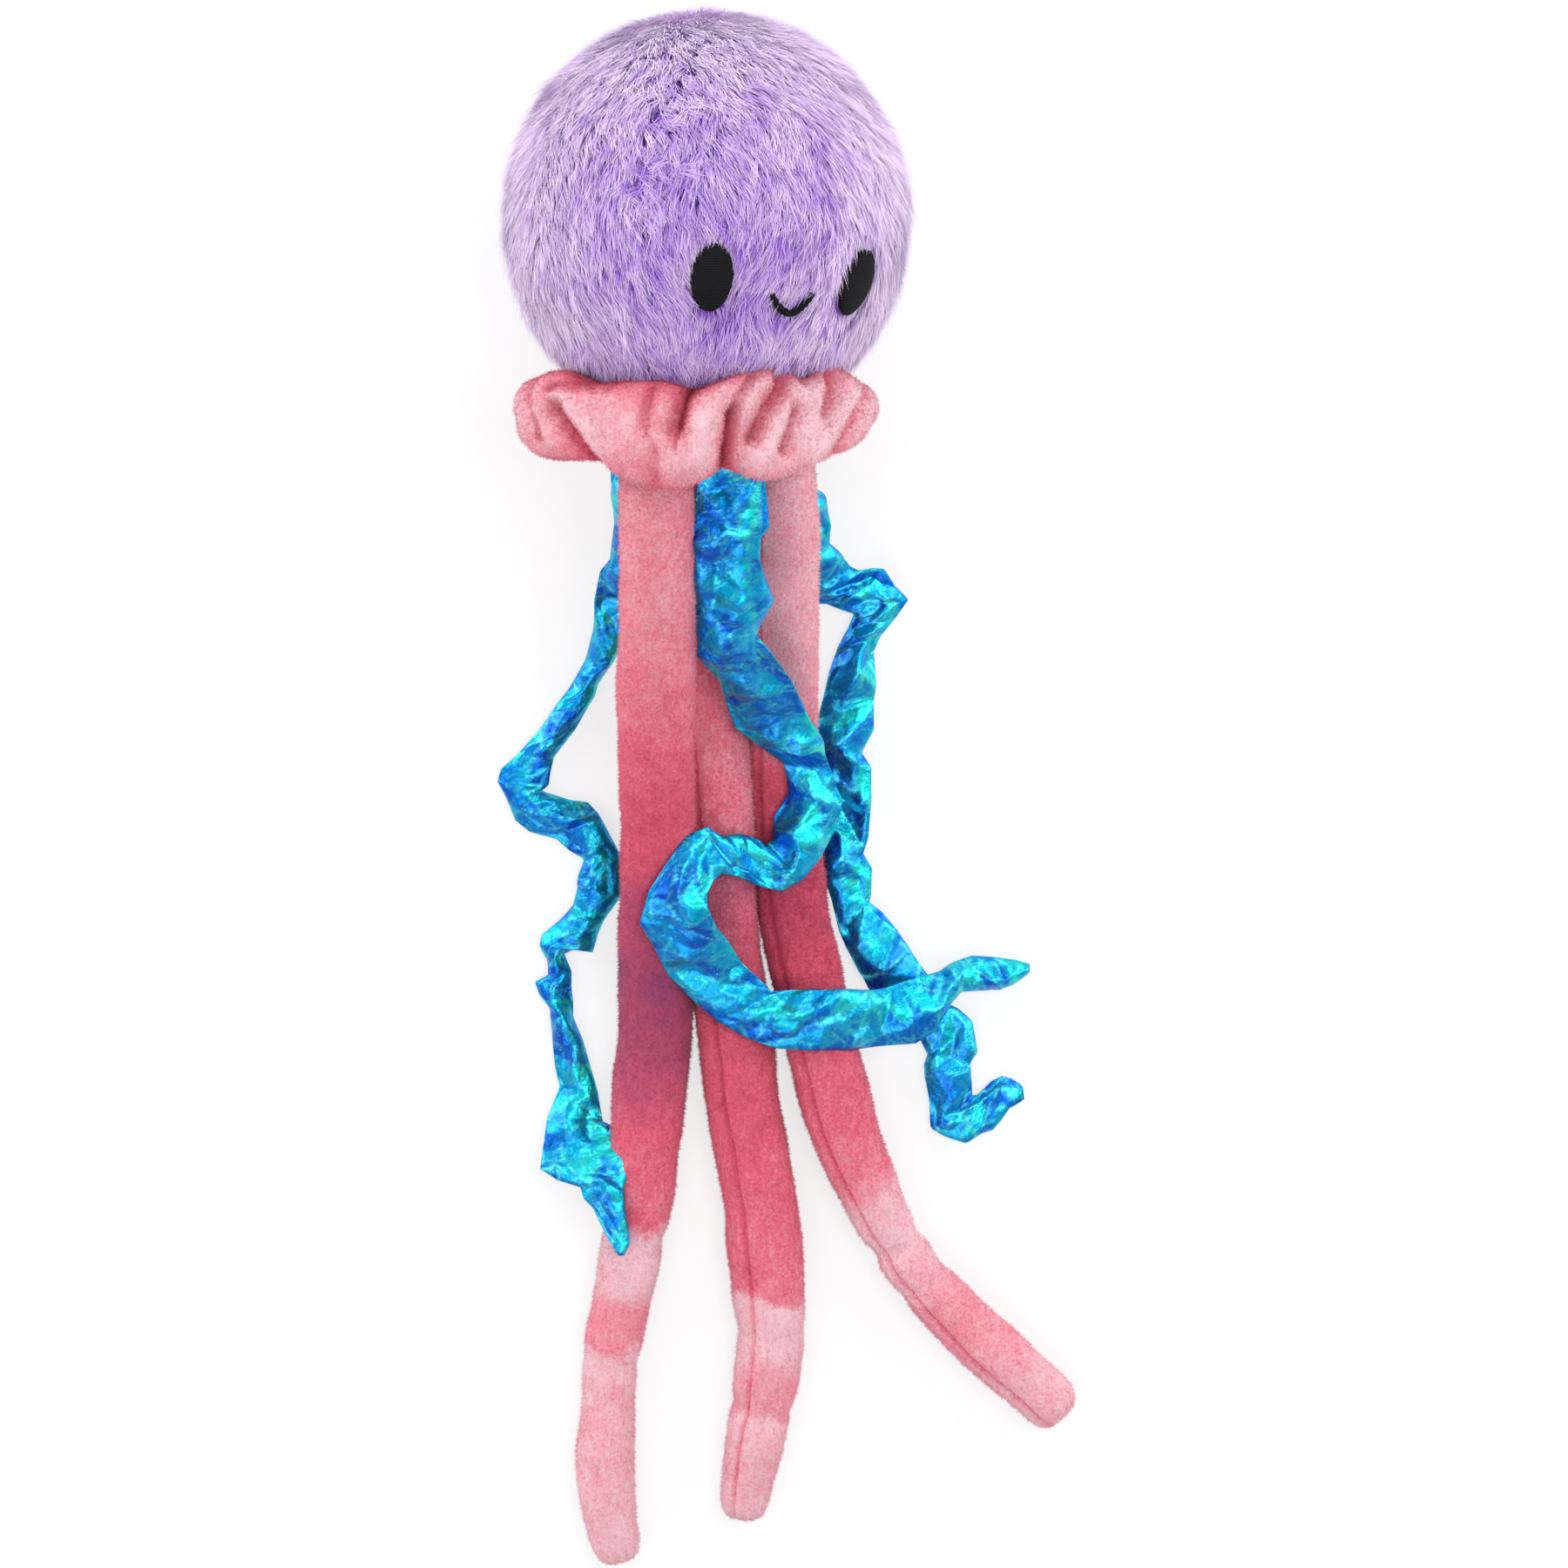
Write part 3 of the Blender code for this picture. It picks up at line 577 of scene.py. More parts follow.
    # Painted light and shade: the pile is painted paler towards the sides and back of the head, as rim
    # light, and darker under the face, as shade
    painted_rim_light = np.clip((0.9 - facing[:, 2]) / 0.55, 0, 1) * (1 - chin)
    shade = np.clip(lock_shade[lock] - CHIN["painted_shade"] * chin, 0, 1) + PAINTED_RIM_LIGHT * painted_rim_light
    cards = np.stack((shade, chance.random(count)), axis=1)
    return spines[~short], facing[~short], cards[~short]


# Deep colour among the roots, pale at the tips, with stronger and weaker locks. A lock's shade also
# carries the painted rim light and the painted shade under the face
pile = Finish("lavender_pile")
height, lock, own = pile.split("ShaderNodeSeparateColor", {"Color": pile.marked("strand", "Color")},
                               "Red", "Green", "Blue")
height = (height + (lock - 0.5) * 0.6 + (own - 0.5) * 0.42 - 0.14).clipped()
pile.set(Base_Color=pile.ramp(height, (0.0, PILE_ROOT), (0.35, PILE_MIDDLE), (1.0, PILE_TIP)),
         Roughness=0.8, Specular_IOR_Level=0.2, Sheen_Weight=0.35, Sheen_Roughness=0.5,
         Sheen_Tint=colour(238, 230, 250))

PILE_PIECES = 3
spines, facing, cards = head_strands()
for part in range(PILE_PIECES):
    chosen = slice(part, None, PILE_PIECES)
    strands = grow("pile", spines[chosen], STRAND_WIDTH, STRAND_TAPER, facing[chosen], cards[chosen])
    settle(strands, f"head_pile_{part + 1}", "lavender_pile", pile.material)


# The face: two upright ovals and a smile in raised black satin stitch, sewn through the pile,
# whose strands stand over their edges.
THREAD_RISE = 1.5 * MM
STITCH_PITCH = 0.42 * MM
EYE_SEGMENTS = 64
EYE_RINGS = 32
# How far and by what share the outline of an eye wavers
EYE_WAVER = (1.6 * MM, 0.03)

stitch = Finish("black_thread")
rows = stitch.add("ShaderNodeTexWave", {"wave_type": "BANDS", "bands_direction": "Y"},
                  {"Vector": stitch.place(), "Scale": 1 / (STITCH_PITCH * 6.3), "Distortion": 1.6,
                   "Detail": 2.0, "Detail Scale": 2.0}, "Fac")
nap = stitch.cloud(0.35 * MM, 4)
stitch.set(Base_Color=stitch.mix(nap, colour(4, 4, 6), colour(26, 26, 30)), Roughness=0.7,
           Specular_IOR_Level=0.12, Normal=stitch.bump(rows + nap * 0.8, 0.22 * MM))

for name, (turn, drop, roll) in EYES.items():
    bpy.ops.mesh.primitive_uv_sphere_add(segments=EYE_SEGMENTS, ring_count=EYE_RINGS, radius=1,
                                         scale=(EYE_WIDTH / 2, EYE_HEIGHT / 2, 1),
                                         rotation=(0, 0, -math.radians(roll)))
    eye = bpy.context.object
    bpy.ops.object.transform_apply()
    points = coordinates(eye.data)
    for index, (across, up, rise) in enumerate(points):
        wobble = noise.noise(Vector((across, up, turn * MM)) / EYE_WAVER[0]) * EYE_WAVER[1]
        away = math.radians(turn) + across * (1 + wobble) / (HEAD_RADIUS * math.cos(math.radians(drop)))
        flat = math.copysign(abs(rise) ** 0.6, rise)
        lift = THREAD_RISE * flat if flat > 0 else PILE_DEPTH * flat
        points[index] = on_head(away, math.radians(drop) - up * (1 + wobble) / HEAD_RADIUS, lift)
    put_back(eye.data, points)
    bpy.ops.object.shade_smooth()
    settle(eye, name + "_stitched", "black_thread", stitch.material, name)

MOUTH_THREAD = 1.2 * MM
MOUTH_RISE = 0.9 * MM
MOUTH_STEPS = 40
bpy.ops.curve.primitive_bezier_curve_add()
smile = bpy.context.object
line = smile.data
line.splines.clear()
line.dimensions = "3D"
line.bevel_depth = MOUTH_THREAD
line.bevel_resolution = 4
line.use_fill_caps = True
arc = line.splines.new("POLY")
arc.points.add(MOUTH_STEPS)
for index, point in enumerate(arc.points):
    share = 2 * index / MOUTH_STEPS - 1
    across = share * MOUTH_WIDTH / 2 / (HEAD_RADIUS * math.cos(math.radians(MOUTH_DROP)))
    down = MOUTH_DEPTH * (0.5 - share ** 2) / HEAD_RADIUS
    point.co = (*on_head(math.radians(MOUTH_TURN) + across, math.radians(MOUTH_DROP) + down,
                         MOUTH_RISE), 1)
    point.radius = 1 - 0.2 * share ** 4 + 0.12 * math.sin(index * 2.1)
bpy.ops.object.convert(target="MESH")
smile = bpy.context.object
bpy.ops.object.shade_smooth()
settle(smile, "mouth_stitched", "black_thread", stitch.material, "mouth")


# The ruffle: a band of rose velour folded double, drawn up on a thread round the neck so that
# it stands in puffed lobes with deep creases between them.
RUFFLE_REACH = 18.8 * MM
RUFFLE_SHIFT = -3.8 * MM
RUFFLE_TURNS = 480
RUFFLE_ROWS = 60
RUFFLE_CLEARANCE = 0.3 * MM
LOBE_RISE = 1.6 * MM
LOBE_FADES = 5 * MM
LUMPS = (7 * MM, 0.7 * MM)
# Section of the band as (share of the reach, share of the way down from its top to its lip)
BAND_SECTION = ((0.1, 0.3), (0.3, 0.06), (0.6, -0.02), (0.85, 0.07), (0.98, 0.26), (1.0, 0.5),
                (0.95, 0.76), (0.78, 0.95), (0.52, 1.0), (0.3, 0.84), (0.14, 0.62), (0.06, 0.44))
# Lip and top of the band round the neck: (degrees from the front, mm along the toy)
BAND_LIP = ((-180, -80), (-150, -82), (-120, -76), (-95, -71), (-75, -78), (-60, -78.5), (-44, -77.5),
            (-33, -79.5), (-26, -82.5), (-17, -85), (-6, -86), (2, -82.5), (9, -78.5), (14, -80.5),
            (22, -83.3), (29, -83), (35, -80.5), (46, -78.5), (58, -77), (70, -75), (82, -72.5),
            (95, -70), (120, -77), (150, -83), (180, -80))
BAND_TOP = ((-180, -54), (-90, -56), (-72, -53), (-56, -50), (-43, -54.5), (-30, -53), (-12, -52.5),
            (-1, -56), (10, -51.5), (20, -49.5), (31, -48.5), (39, -53.5), (47, -51), (57, -49), (70, -54),
            (90, -57), (180, -54))
# Creases: points as (degrees from the front, mm along the toy), depth and width in mm, how sharp
# they are, from 1 for a crack between two folds to 2 for a soft hollow, and how much gentler
# they rise on their right than on their left, from -1 to 1.
CREASES = (
    (((-90, -58), (-84, -66), (-88, -74)), 5.5, 4.0, 1.3, 0.0),
    (((-70, -56), (-64, -63), (-62, -70)), 4.0, 3.0, 1.4, 0.0),
    (((-50, -61), (-45, -66), (-39, -72), (-34, -79)), 8.0, 3.8, 1.4, -0.35),
    (((-58, -55.5), (-48, -53), (-30, -53)), 3.5, 1.9, 1.4, 0.0),
    (((-15, -53), (-15.5, -65)), 3.2, 3.0, 1.4, 0.3),
    (((-12, -73), (-13, -82)), 2.0, 3.0, 1.6, 0.0),
    (((1, -50), (-2.5, -57), (-4, -66)), 9.0, 2.6, 1.15, -0.4),
    (((12, -61), (11, -68), (9.5, -76), (8.5, -86)), 10.5, 2.4, 1.05, 0.4),
    (((19, -50), (15, -55), (12, -60)), 3.5, 2.0, 1.5, 0.3),
    (((32, -50), (30, -55), (24.5, -61), (20, -69)), 7.5, 3.0, 1.2, -0.3),
    (((35, -61), (33, -66), (30, -73)), 5.0, 2.3, 1.3, 0.0),
    (((38, -46), (39, -52)), 4.5, 1.7, 1.2, 0.0),
    (((54, -49), (52, -56), (47, -62)), 6.0, 3.2, 1.5, 0.0),
    (((74, -54), (65, -61), (58, -68)), 6.5, 2.6, 1.3, 0.2),
    (((59, -70), (54, -74), (57, -77)), 5.0, 2.0, 1.2, 0.0),
    (((90, -55), (84, -64), (80, -73)), 5.0, 3.0, 1.4, 0.0),
)
# Folded edges that stand up beside the creases: points as above, height and width in mm
RIDGES = (
    (((-60, -62), (-52, -57.5), (-43, -56), (-27, -56.5)), 1.8, 1.7),
    (((-43, -59), (-36, -67), (-30, -79)), 1.6, 1.9),
    (((10, -51), (6, -58), (3, -68), (1, -80)), 1.3, 2.4),
    (((15, -67), (17, -58), (20, -54), (26, -52)), 1.4, 2.0),
    (((29, -46), (37, -50), (42, -57), (45, -64)), 1.6, 1.9),
    (((66, -54), (50, -66), (41, -78)), 1.8, 2.0),
    (((-8, -58), (-9, -68), (-8, -78)), 0.9, 2.4),
    (((26, -73), (21, -80), (15, -84)), 1.2, 2.2),
)
# Behind, plain gathers from top to lip: (degrees from the front, depth, width and slant in mm)
GATHERS = ((104, 7, 3.4, 3), (120, 5, 2.6, -2), (136, 8, 3.6, 4), (152, 5, 2.6, 1), (168, 8, 3.2, -3),
           (184, 6, 2.8, 2), (202, 8, 3.4, -4), (220, 5, 2.6, 2), (236, 8, 3.4, 3), (252, 5, 2.8, -2))


def read_along(pairs, places):
    """Smoothly joined values at places, from pairs of (place, value)."""
    spots, values = zip(*pairs)
    straight = np.interp(places, spots, values)
    near = [np.interp(places + step, spots, values) for step in (-4, -2, 2, 4)]
    return (straight * 2 + sum(near)) / 6


def closed_curve(points, count):
    """Points evenly spaced in number along a smooth closed curve through the given ones."""
    given = np.array(points)
    total = len(given)
    shares = np.arange(count) / count * total
    index = shares.astype(int)
    t = (shares - index)[:, None]
    a, b, c, d = (given[(index + step) % total] for step in (-1, 0, 1, 2))
    return 0.5 * (2 * b + (c - a) * t + (2 * a - 5 * b + 4 * c - d) * t ** 2
                  + (3 * b - a - 3 * c + d) * t ** 3)


def away_from(line, across, along):
    """Distance of points from a line of points laid out flat, and the side they are on, +1 or -1."""
    best = np.full(across.shape, np.inf)
    side = np.zeros(across.shape)
    for (x0, y0), (x1, y1) in zip(line, line[1:]):
        run_x, run_y = x1 - x0, y1 - y0
        share = ((across - x0) * run_x + (along - y0) * run_y) / (run_x ** 2 + run_y ** 2)
        share = np.clip(share, 0, 1)
        away = np.hypot(across - x0 - share * run_x, along - y0 - share * run_y)
        turned_by = run_x * (along - y0) - run_y * (across - x0)
        side = np.where(away < best, np.sign(turned_by), side)
        best = np.minimum(best, away)
    return best, side


def drawn_in(degrees, along):
    """How far the creases draw the band in and the folded edges push it out, in metres."""
    arc = math.radians(1) * (NECK_RADIUS + RUFFLE_REACH)

    def away_on_band(line):
        return away_from([(angle * arc, y * MM) for angle, y in line], degrees * arc, along)

    depth = np.zeros(degrees.shape)
    for line, deep, width, sharp, gentler in CREASES:
        away, side = away_on_band(line)
        away = away / (width * MM * (1 + gentler * side))
        depth = np.hypot(depth, deep * MM * np.exp(-away ** sharp))
    for angle, deep, width, slant in GATHERS:
        lean = slant * MM * (along - NECK_Y) / (20 * MM)
        away = np.abs(((degrees - angle + 180) % 360 - 180) * arc + lean) / (width * MM)
        depth = np.hypot(depth, deep * MM * np.exp(-away ** 1.3))
    rise = np.zeros(degrees.shape)
    for line, high, width in RIDGES:
        away = away_on_band(line)[0] / (width * MM)
        rise = np.maximum(rise, high * MM * np.exp(-away ** 1.4))
    return depth, rise


def round_turns(count):
    """Turns in radians of points spaced evenly round a ring."""
    return np.arange(count) * 2 * math.pi / count


def tube(name, points, ring_shaped):
    """A closed skin over rings of points, with a map that runs round and along it.

    The last ring joins the first on a ring-shaped piece. Otherwise each end has a cap, whose
    place in the map is a small disc in the strip that the sides leave free.
    """
    rings, sides = points.shape[:2]
    spans = rings if ring_shaped else rings - 1
    i, j = np.meshgrid(np.arange(spans), np.arange(sides), indexing="ij")
    ahead, beside = (i + 1) % rings, (j + 1) % sides
    quads = (i * sides + j, i * sides + beside, ahead * sides + beside, ahead * sides + j)
    faces = np.stack(quads, axis=-1).reshape(-1, 4).tolist()
    strip = 0.0 if ring_shaped else 0.05
    u = np.stack((j, j + 1, j + 1, j), axis=-1) / sides
    v = strip + (1 - 2 * strip) * np.stack((i, i, i + 1, i + 1), axis=-1) / spans
    spots = [np.stack((u, v), axis=-1).reshape(-1, 2)]
    if not ring_shaped:
        turn = round_turns(sides)
        for first, middle in ((0, 0.025), ((rings - 1) * sides, 0.975)):
            faces.append(list(range(first, first + sides)))
            spots.append(np.stack((0.03 + 0.02 * np.cos(turn), middle + 0.02 * np.sin(turn)), axis=-1))
    mesh = bpy.data.meshes.new(name)
    mesh.from_pydata(points.reshape(-1, 3).tolist(), [], faces)
    layer = mesh.uv_layers.new(name="OFBake")
    layer.data.foreach_set("uv", np.concatenate(spots).astype(np.float32).ravel())
    bm = bmesh.new()
    bm.from_mesh(mesh)
    bmesh.ops.recalc_face_normals(bm, faces=bm.faces)
    bm.to_mesh(mesh)
    bm.free()
    return placed(name, mesh)


def fuzz(name, points, ring_shaped, count, marks, along_nap, bare=0.0):
    """Short nap scattered over a tube of rings, each hair with its root's own mark.

    bare is the share of hairs left out at each point.
    """
    rings, sides = points.shape[:2]
    first = points if ring_shaped else points[:-1]
    second = np.roll(points, -1, axis=0)[:len(first)]
    corners = [first, second, np.roll(first, -1, axis=1), np.roll(second, -1, axis=1)]
    along = (corners[1] + corners[3] - corners[0] - corners[2]) / 2
    around = (corners[2] + corners[3] - corners[0] - corners[1]) / 2
    outward = np.cross(along, around)
    if np.sum(outward * (first - first.mean(axis=1, keepdims=True))) < 0:
        outward = -outward
    covered = 1 - np.broadcast_to(bare, marks.shape)[:len(first)]
    area = (np.linalg.norm(outward, axis=-1) * covered).ravel()
    chosen = chance.choice(area.size, size=count, p=area / area.sum())
    f, g = chance.random((2, count, 1))
    shares = ((1 - f) * (1 - g), f * (1 - g), (1 - f) * g, f * g)
    roots = sum(share * corner.reshape(-1, 3)[chosen] for share, corner in zip(shares, corners))
    outward = unit(outward.reshape(-1, 3)[chosen])
    way = unit(along.reshape(-1, 3)[chosen] if along_nap else around.reshape(-1, 3)[chosen])
    way = turned(way, outward, chance.normal(size=count) * 0.7)
    # None grow where the piece lies on the floor
    keep = (roots[:, 2] > FUZZ_HEIGHT) & (outward[:, 2] > -0.75)
    roots, outward, way, chosen = roots[keep], outward[keep], way[keep], chosen[keep]
    lean = np.radians(chance.uniform(*FUZZ_LEAN, len(roots)))[:, None]
    length = FUZZ_LENGTH * chance.uniform(0.6, 1.2, len(roots))[:, None]
    tips = roots + (outward * np.cos(lean) + way * np.sin(lean)) * length
    spines = np.stack((roots - outward * 0.1 * MM, tips), axis=1)
    cards = chance.random((len(roots), 2))
    hairs = grow(name, spines, FUZZ_WIDTH, (1.0, 0.0), outward, cards)
    mark(hairs, "nap", np.repeat(marks[:len(first)].ravel()[chosen], 3))
    return hairs


def mark(piece, name, values):
    attribute = piece.data.attributes.new(name, "FLOAT", "POINT")
    attribute.data.foreach_set("value", values.astype(np.float32).ravel())


def ruffle_points():
    degrees = np.arange(RUFFLE_TURNS) * 360 / RUFFLE_TURNS - 180
    section = closed_curve(BAND_SECTION, RUFFLE_ROWS)
    degrees, reach = np.meshgrid(degrees, section[:, 0], indexing="ij")
    down = np.tile(section[:, 1], (RUFFLE_TURNS, 1))
    lip = read_along(BAND_LIP, degrees) * MM
    top = read_along(BAND_TOP, degrees) * MM
    along = top + (lip - top) * down
    depth, rise = drawn_in(degrees, along)
    outer = np.clip((reach - 0.15) / 0.5, 0, 1)
    lobes = np.clip(1 - depth / LOBE_FADES, 0, 1) * LOBE_RISE
    inside = NECK_RADIUS + RUFFLE_CLEARANCE
    radius = inside + reach * RUFFLE_REACH + (lobes - depth + rise) * outer
    radius = np.maximum(radius, inside + reach * 3 * MM)
    turn = np.radians(degrees)
    x = RUFFLE_SHIFT * reach + radius * np.sin(turn)
    z = HEAD_MIDDLE[2] + radius * np.cos(turn)
    points = np.stack((x, along, z), axis=-1)
    lumps = wisps(points.reshape(-1, 3), LUMPS[0]) * LUMPS[1]
    outward = unit(np.stack((np.sin(turn), np.zeros_like(turn), np.cos(turn)), axis=-1).reshape(-1, 3))
    points = points.reshape(-1, 3) + outward * (lumps * outer.ravel())[:, None]
    return points.reshape(RUFFLE_TURNS, RUFFLE_ROWS, 3)


ROSE_DEEP = colour(168, 50, 74)
ROSE = colour(210, 91, 113)
ROSE_LIGHT = colour(219, 139, 153)
ROSE_PALE = colour(223, 183, 190)
# The greyer colour painted where shadow falls on the legs
PAINTED_SHADOW_COLOUR = colour(122, 60, 102)


def velour(finish, shade, stops, painted_shadow_mask=None):
    """Short dense nap: it changes shade where it is brushed, with a fine fuzzy grain.

    The shade goes from 0 to 1 over the stops. Hairs are paler at their tips. The painted shadow mask,
    from 0 to 1, paints shadow over the nap in a greyer colour.
    """
    height, own = finish.split("ShaderNodeSeparateColor", {"Color": finish.marked("strand", "Color")},
                               "Red", "Green")
    brushed = finish.cloud(9 * MM, 3, warp=0.6)
    grain = finish.cloud(1.0 * MM, 3)
    cords = finish.cloud(1.1 * MM, 2, stretch=(1.0, 0.16, 1.0))
    shade = shade + (brushed - 0.5) * 0.34 + (grain - 0.5) * 0.6 + (cords - 0.5) * 0.3
    rose = finish.ramp((shade + height * (own * 0.3 - 0.02)).clipped(), *stops)
    # Painted shadow, in a greyer colour
    if painted_shadow_mask:
        rose = finish.mix(painted_shadow_mask, rose, PAINTED_SHADOW_COLOUR)
    return finish.set(Base_Color=rose, Roughness=0.9, Specular_IOR_Level=0.12,
                      Sheen_Weight=0.25, Sheen_Roughness=0.4, Sheen_Tint=colour(255, 214, 220),
                      Normal=finish.bump(grain * 0.6 + cords * 0.5 + finish.cloud(0.25 * MM, 2) * 0.4,
                                         0.35 * MM))


FUZZ_LENGTH = 1.3 * MM
FUZZ_WIDTH = 0.3 * MM
FUZZ_HEIGHT = 0.8 * MM
FUZZ_LEAN = (28, 62)
RUFFLE_HAIRS = 66000

band = ruffle_points()
ruffle = tube("ruffle", band, ring_shaped=True)
middle_line = np.array((RUFFLE_SHIFT, 0, HEAD_MIDDLE[2]))
# The nap is painted paler the higher the band stands and deeper in its hollows: painted light on the folds
# and painted shade in the creases
height = np.linalg.norm((band - middle_line)[..., [0, 2]], axis=-1) - NECK_RADIUS
painted_fold_light = np.clip(height / (RUFFLE_REACH * 1.15), 0, 1) ** 1.2
# The painted light is a little darker over the wide fold on the left and a little paler over the folds on
# the right
round_neck = np.degrees(np.arctan2(band[..., 0] - middle_line[0], band[..., 2] - middle_line[2]))
painted_fold_light = painted_fold_light * (1 - 0.1 * np.exp(-((round_neck + 22) / 16) ** 2))
painted_fold_light = painted_fold_light + 0.1 * np.exp(-((round_neck - 34) / 24) ** 2)
mark(ruffle, "nap", painted_fold_light)
rose = Finish("rose_velour_ruffle")
rose_ruffle = velour(rose, rose.marked("nap"),
                     ((0.15, ROSE_DEEP), (0.5, ROSE), (0.78, ROSE_LIGHT), (1.0, ROSE_PALE)))
settle(ruffle, "ruffle_gathered", "rose_velour", rose_ruffle, "ruffle")
hairs = fuzz("ruffle_nap", band, True, RUFFLE_HAIRS, painted_fold_light, along_nap=False)
settle(hairs, "ruffle_nap", "rose_velour", rose_ruffle)


# The legs: three long tubes of the same velour, lightly stuffed, each with a seam along its
# side and a foot that is closed by drawing its end together on a thread.
LEG_STEP = 1.9 * MM
LEG_SIDES = 52
LEG_HAIRS = 50000
FOOT_TIP = 11 * MM
PLEATS = 11
LEG_HALF_WIDTH = 12 * MM
SEAM_WIDTH = 0.9 * MM
SEAM_DEPTH = 1.3 * MM
# How much darker the seam's groove is painted, as shade
SEAM_PAINTED_SHADE = 0.3
LEG_LUMPS = (16 * MM, 0.9 * MM)
KINK_WIDTH = 3.2 * MM
# How far up the foot its pleats reach, and how deep they are
FOOT_PLEATS = (4.5 * MM, 0.8 * MM)
TIP_STRETCH = 13 * MM
LEG_REST = 0.3 * MM


def rings_of(node):
    """The rings of points of a solid limb, in order from its sewn end to its tip."""
    bm = bmesh.new()
    bm.from_mesh(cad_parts[node].data)
    bmesh.ops.remove_doubles(bm, verts=bm.verts, dist=0.01 * MM)
    top = max(vert.co.y for vert in bm.verts)
    rings = [[vert for vert in bm.verts if vert.co.y > top - 0.01 * MM]]
    met = set(rings[0])
    while rings[-1]:
        touching = {edge.other_vert(vert) for vert in rings[-1] for edge in vert.link_edges}
        rings.append(sorted(touching - met, key=lambda vert: vert.index))
        met |= touching
    found = [np.array([vert.co for vert in ring]) for ring in rings[:-1]]
    bm.free()
    return found


def limb_frame(node, step):
    """Middle line of a solid limb at even steps, its side and up directions and its half sizes."""
    rings = rings_of(node)
    middles = np.array([(ring.max(axis=0) + ring.min(axis=0)) / 2 for ring in rings])
    ahead = unit(np.gradient(middles, axis=0))
    side = unit(np.cross(ahead, (0, 0, 1)))
    up = np.cross(side, ahead)
    sizes = []
    for ring, middle, across, rise in zip(rings, middles, side, up):
        sizes.append((np.ptp((ring - middle) @ across) / 2, np.ptp((ring - middle) @ rise) / 2))
    runs = np.concatenate(((0,), np.cumsum(np.linalg.norm(np.diff(middles, axis=0), axis=1))))
    places = np.linspace(0, runs[-1], round(runs[-1] / step) + 1)
    read = [np.interp(places, runs, column) for column in np.hstack((middles, sizes)).T]
    line = np.stack(read[:3], axis=1)
    sizes = np.stack(read[3:], axis=1)
    # The last stretch is read from a little before it, because the solid narrows to a tip there
    whole = places < places[-1] - TIP_STRETCH
    sizes[~whole] = sizes[whole][-1]
    blur = max(1, round(4 * MM / step))
    for sweep in range(3):
        line[blur:-blur] = (line[:-2 * blur] + 2 * line[blur:-blur] + line[2 * blur:]) / 4
        sizes[blur:-blur] = (sizes[:-2 * blur] + 2 * sizes[blur:-blur] + sizes[2 * blur:]) / 4
    ahead = unit(np.gradient(line, axis=0))
    side = unit(np.cross(ahead, (0, 0, 1)))
    return line, side, np.cross(side, ahead), sizes, places


# Each leg: the side of its seam in degrees from its right-hand edge, and its nap, as
# (share of the way down, shade from 0 for deep rose to 1 for pale). The shade is partly the velour's
# brushed nap and partly painted light and shade: deeper where the sleeves shade a leg, paler in bands
# on the feet where light falls.
LEGS = {
    "leg_front_left": (-35, ((0.0, 0.72), (0.15, 0.68), (0.26, 0.5), (0.33, 0.34), (0.42, 0.24),
                             (0.5, 0.24), (0.6, 0.4), (0.68, 0.5), (0.695, 0.48), (0.706, 0.96),
                             (0.74, 0.93), (0.76, 0.72), (0.795, 0.64), (0.806, 0.96), (0.86, 0.84),
                             (1.0, 0.96))),
    "leg_back": (62, ((0.0, 0.45), (0.25, 0.56), (0.32, 0.6), (0.42, 0.52), (0.52, 0.34), (0.6, 0.36),
                      (0.66, 0.44), (0.76, 0.54), (0.776, 0.58), (0.785, 0.98), (0.83, 0.93), (0.85, 0.74),
                      (0.875, 0.7), (0.885, 0.95), (0.93, 0.86), (1.0, 0.92))),
    "leg_right": (55, ((0.0, 0.8), (0.13, 0.84), (0.235, 0.82), (0.3, 0.66), (0.36, 0.36), (0.46, 0.16),
                       (0.52, 0.22), (0.58, 0.42), (0.65, 0.5), (0.7, 0.6), (0.725, 0.88), (0.76, 0.95),
                       (0.8, 0.86), (0.83, 0.7), (0.87, 0.72), (0.93, 0.86), (1.0, 0.92))),
}
# Where shadow is painted on a leg in a greyer colour: share of the way down, how far to each side,
# how strongly
PAINTED_SHADOWS = {"leg_front_left": (0.5, 0.12, 0.75), "leg_back": (0.42, 0.06, 0.3),
           "leg_right": (0.45, 0.06, 0.2)}
# Kinks where a leg buckles: share of the way down, and mm that it draws in
KINKS = {"leg_front_left": ((0.725, 1.0), (0.83, 0.8)), "leg_back": ((0.83, 0.7), (0.9, 0.9)),
         "leg_right": ((0.79, 1.6), (0.83, 0.8))}


def seam_share(turn, seam, half_width):
    """How much of the seam's groove lies at each turn round the leg, from 0 to 1."""
    away = np.abs((turn - math.radians(seam) + math.pi) % (2 * math.pi) - math.pi) * half_width
    return np.exp(-(away / SEAM_WIDTH) ** 1.4)


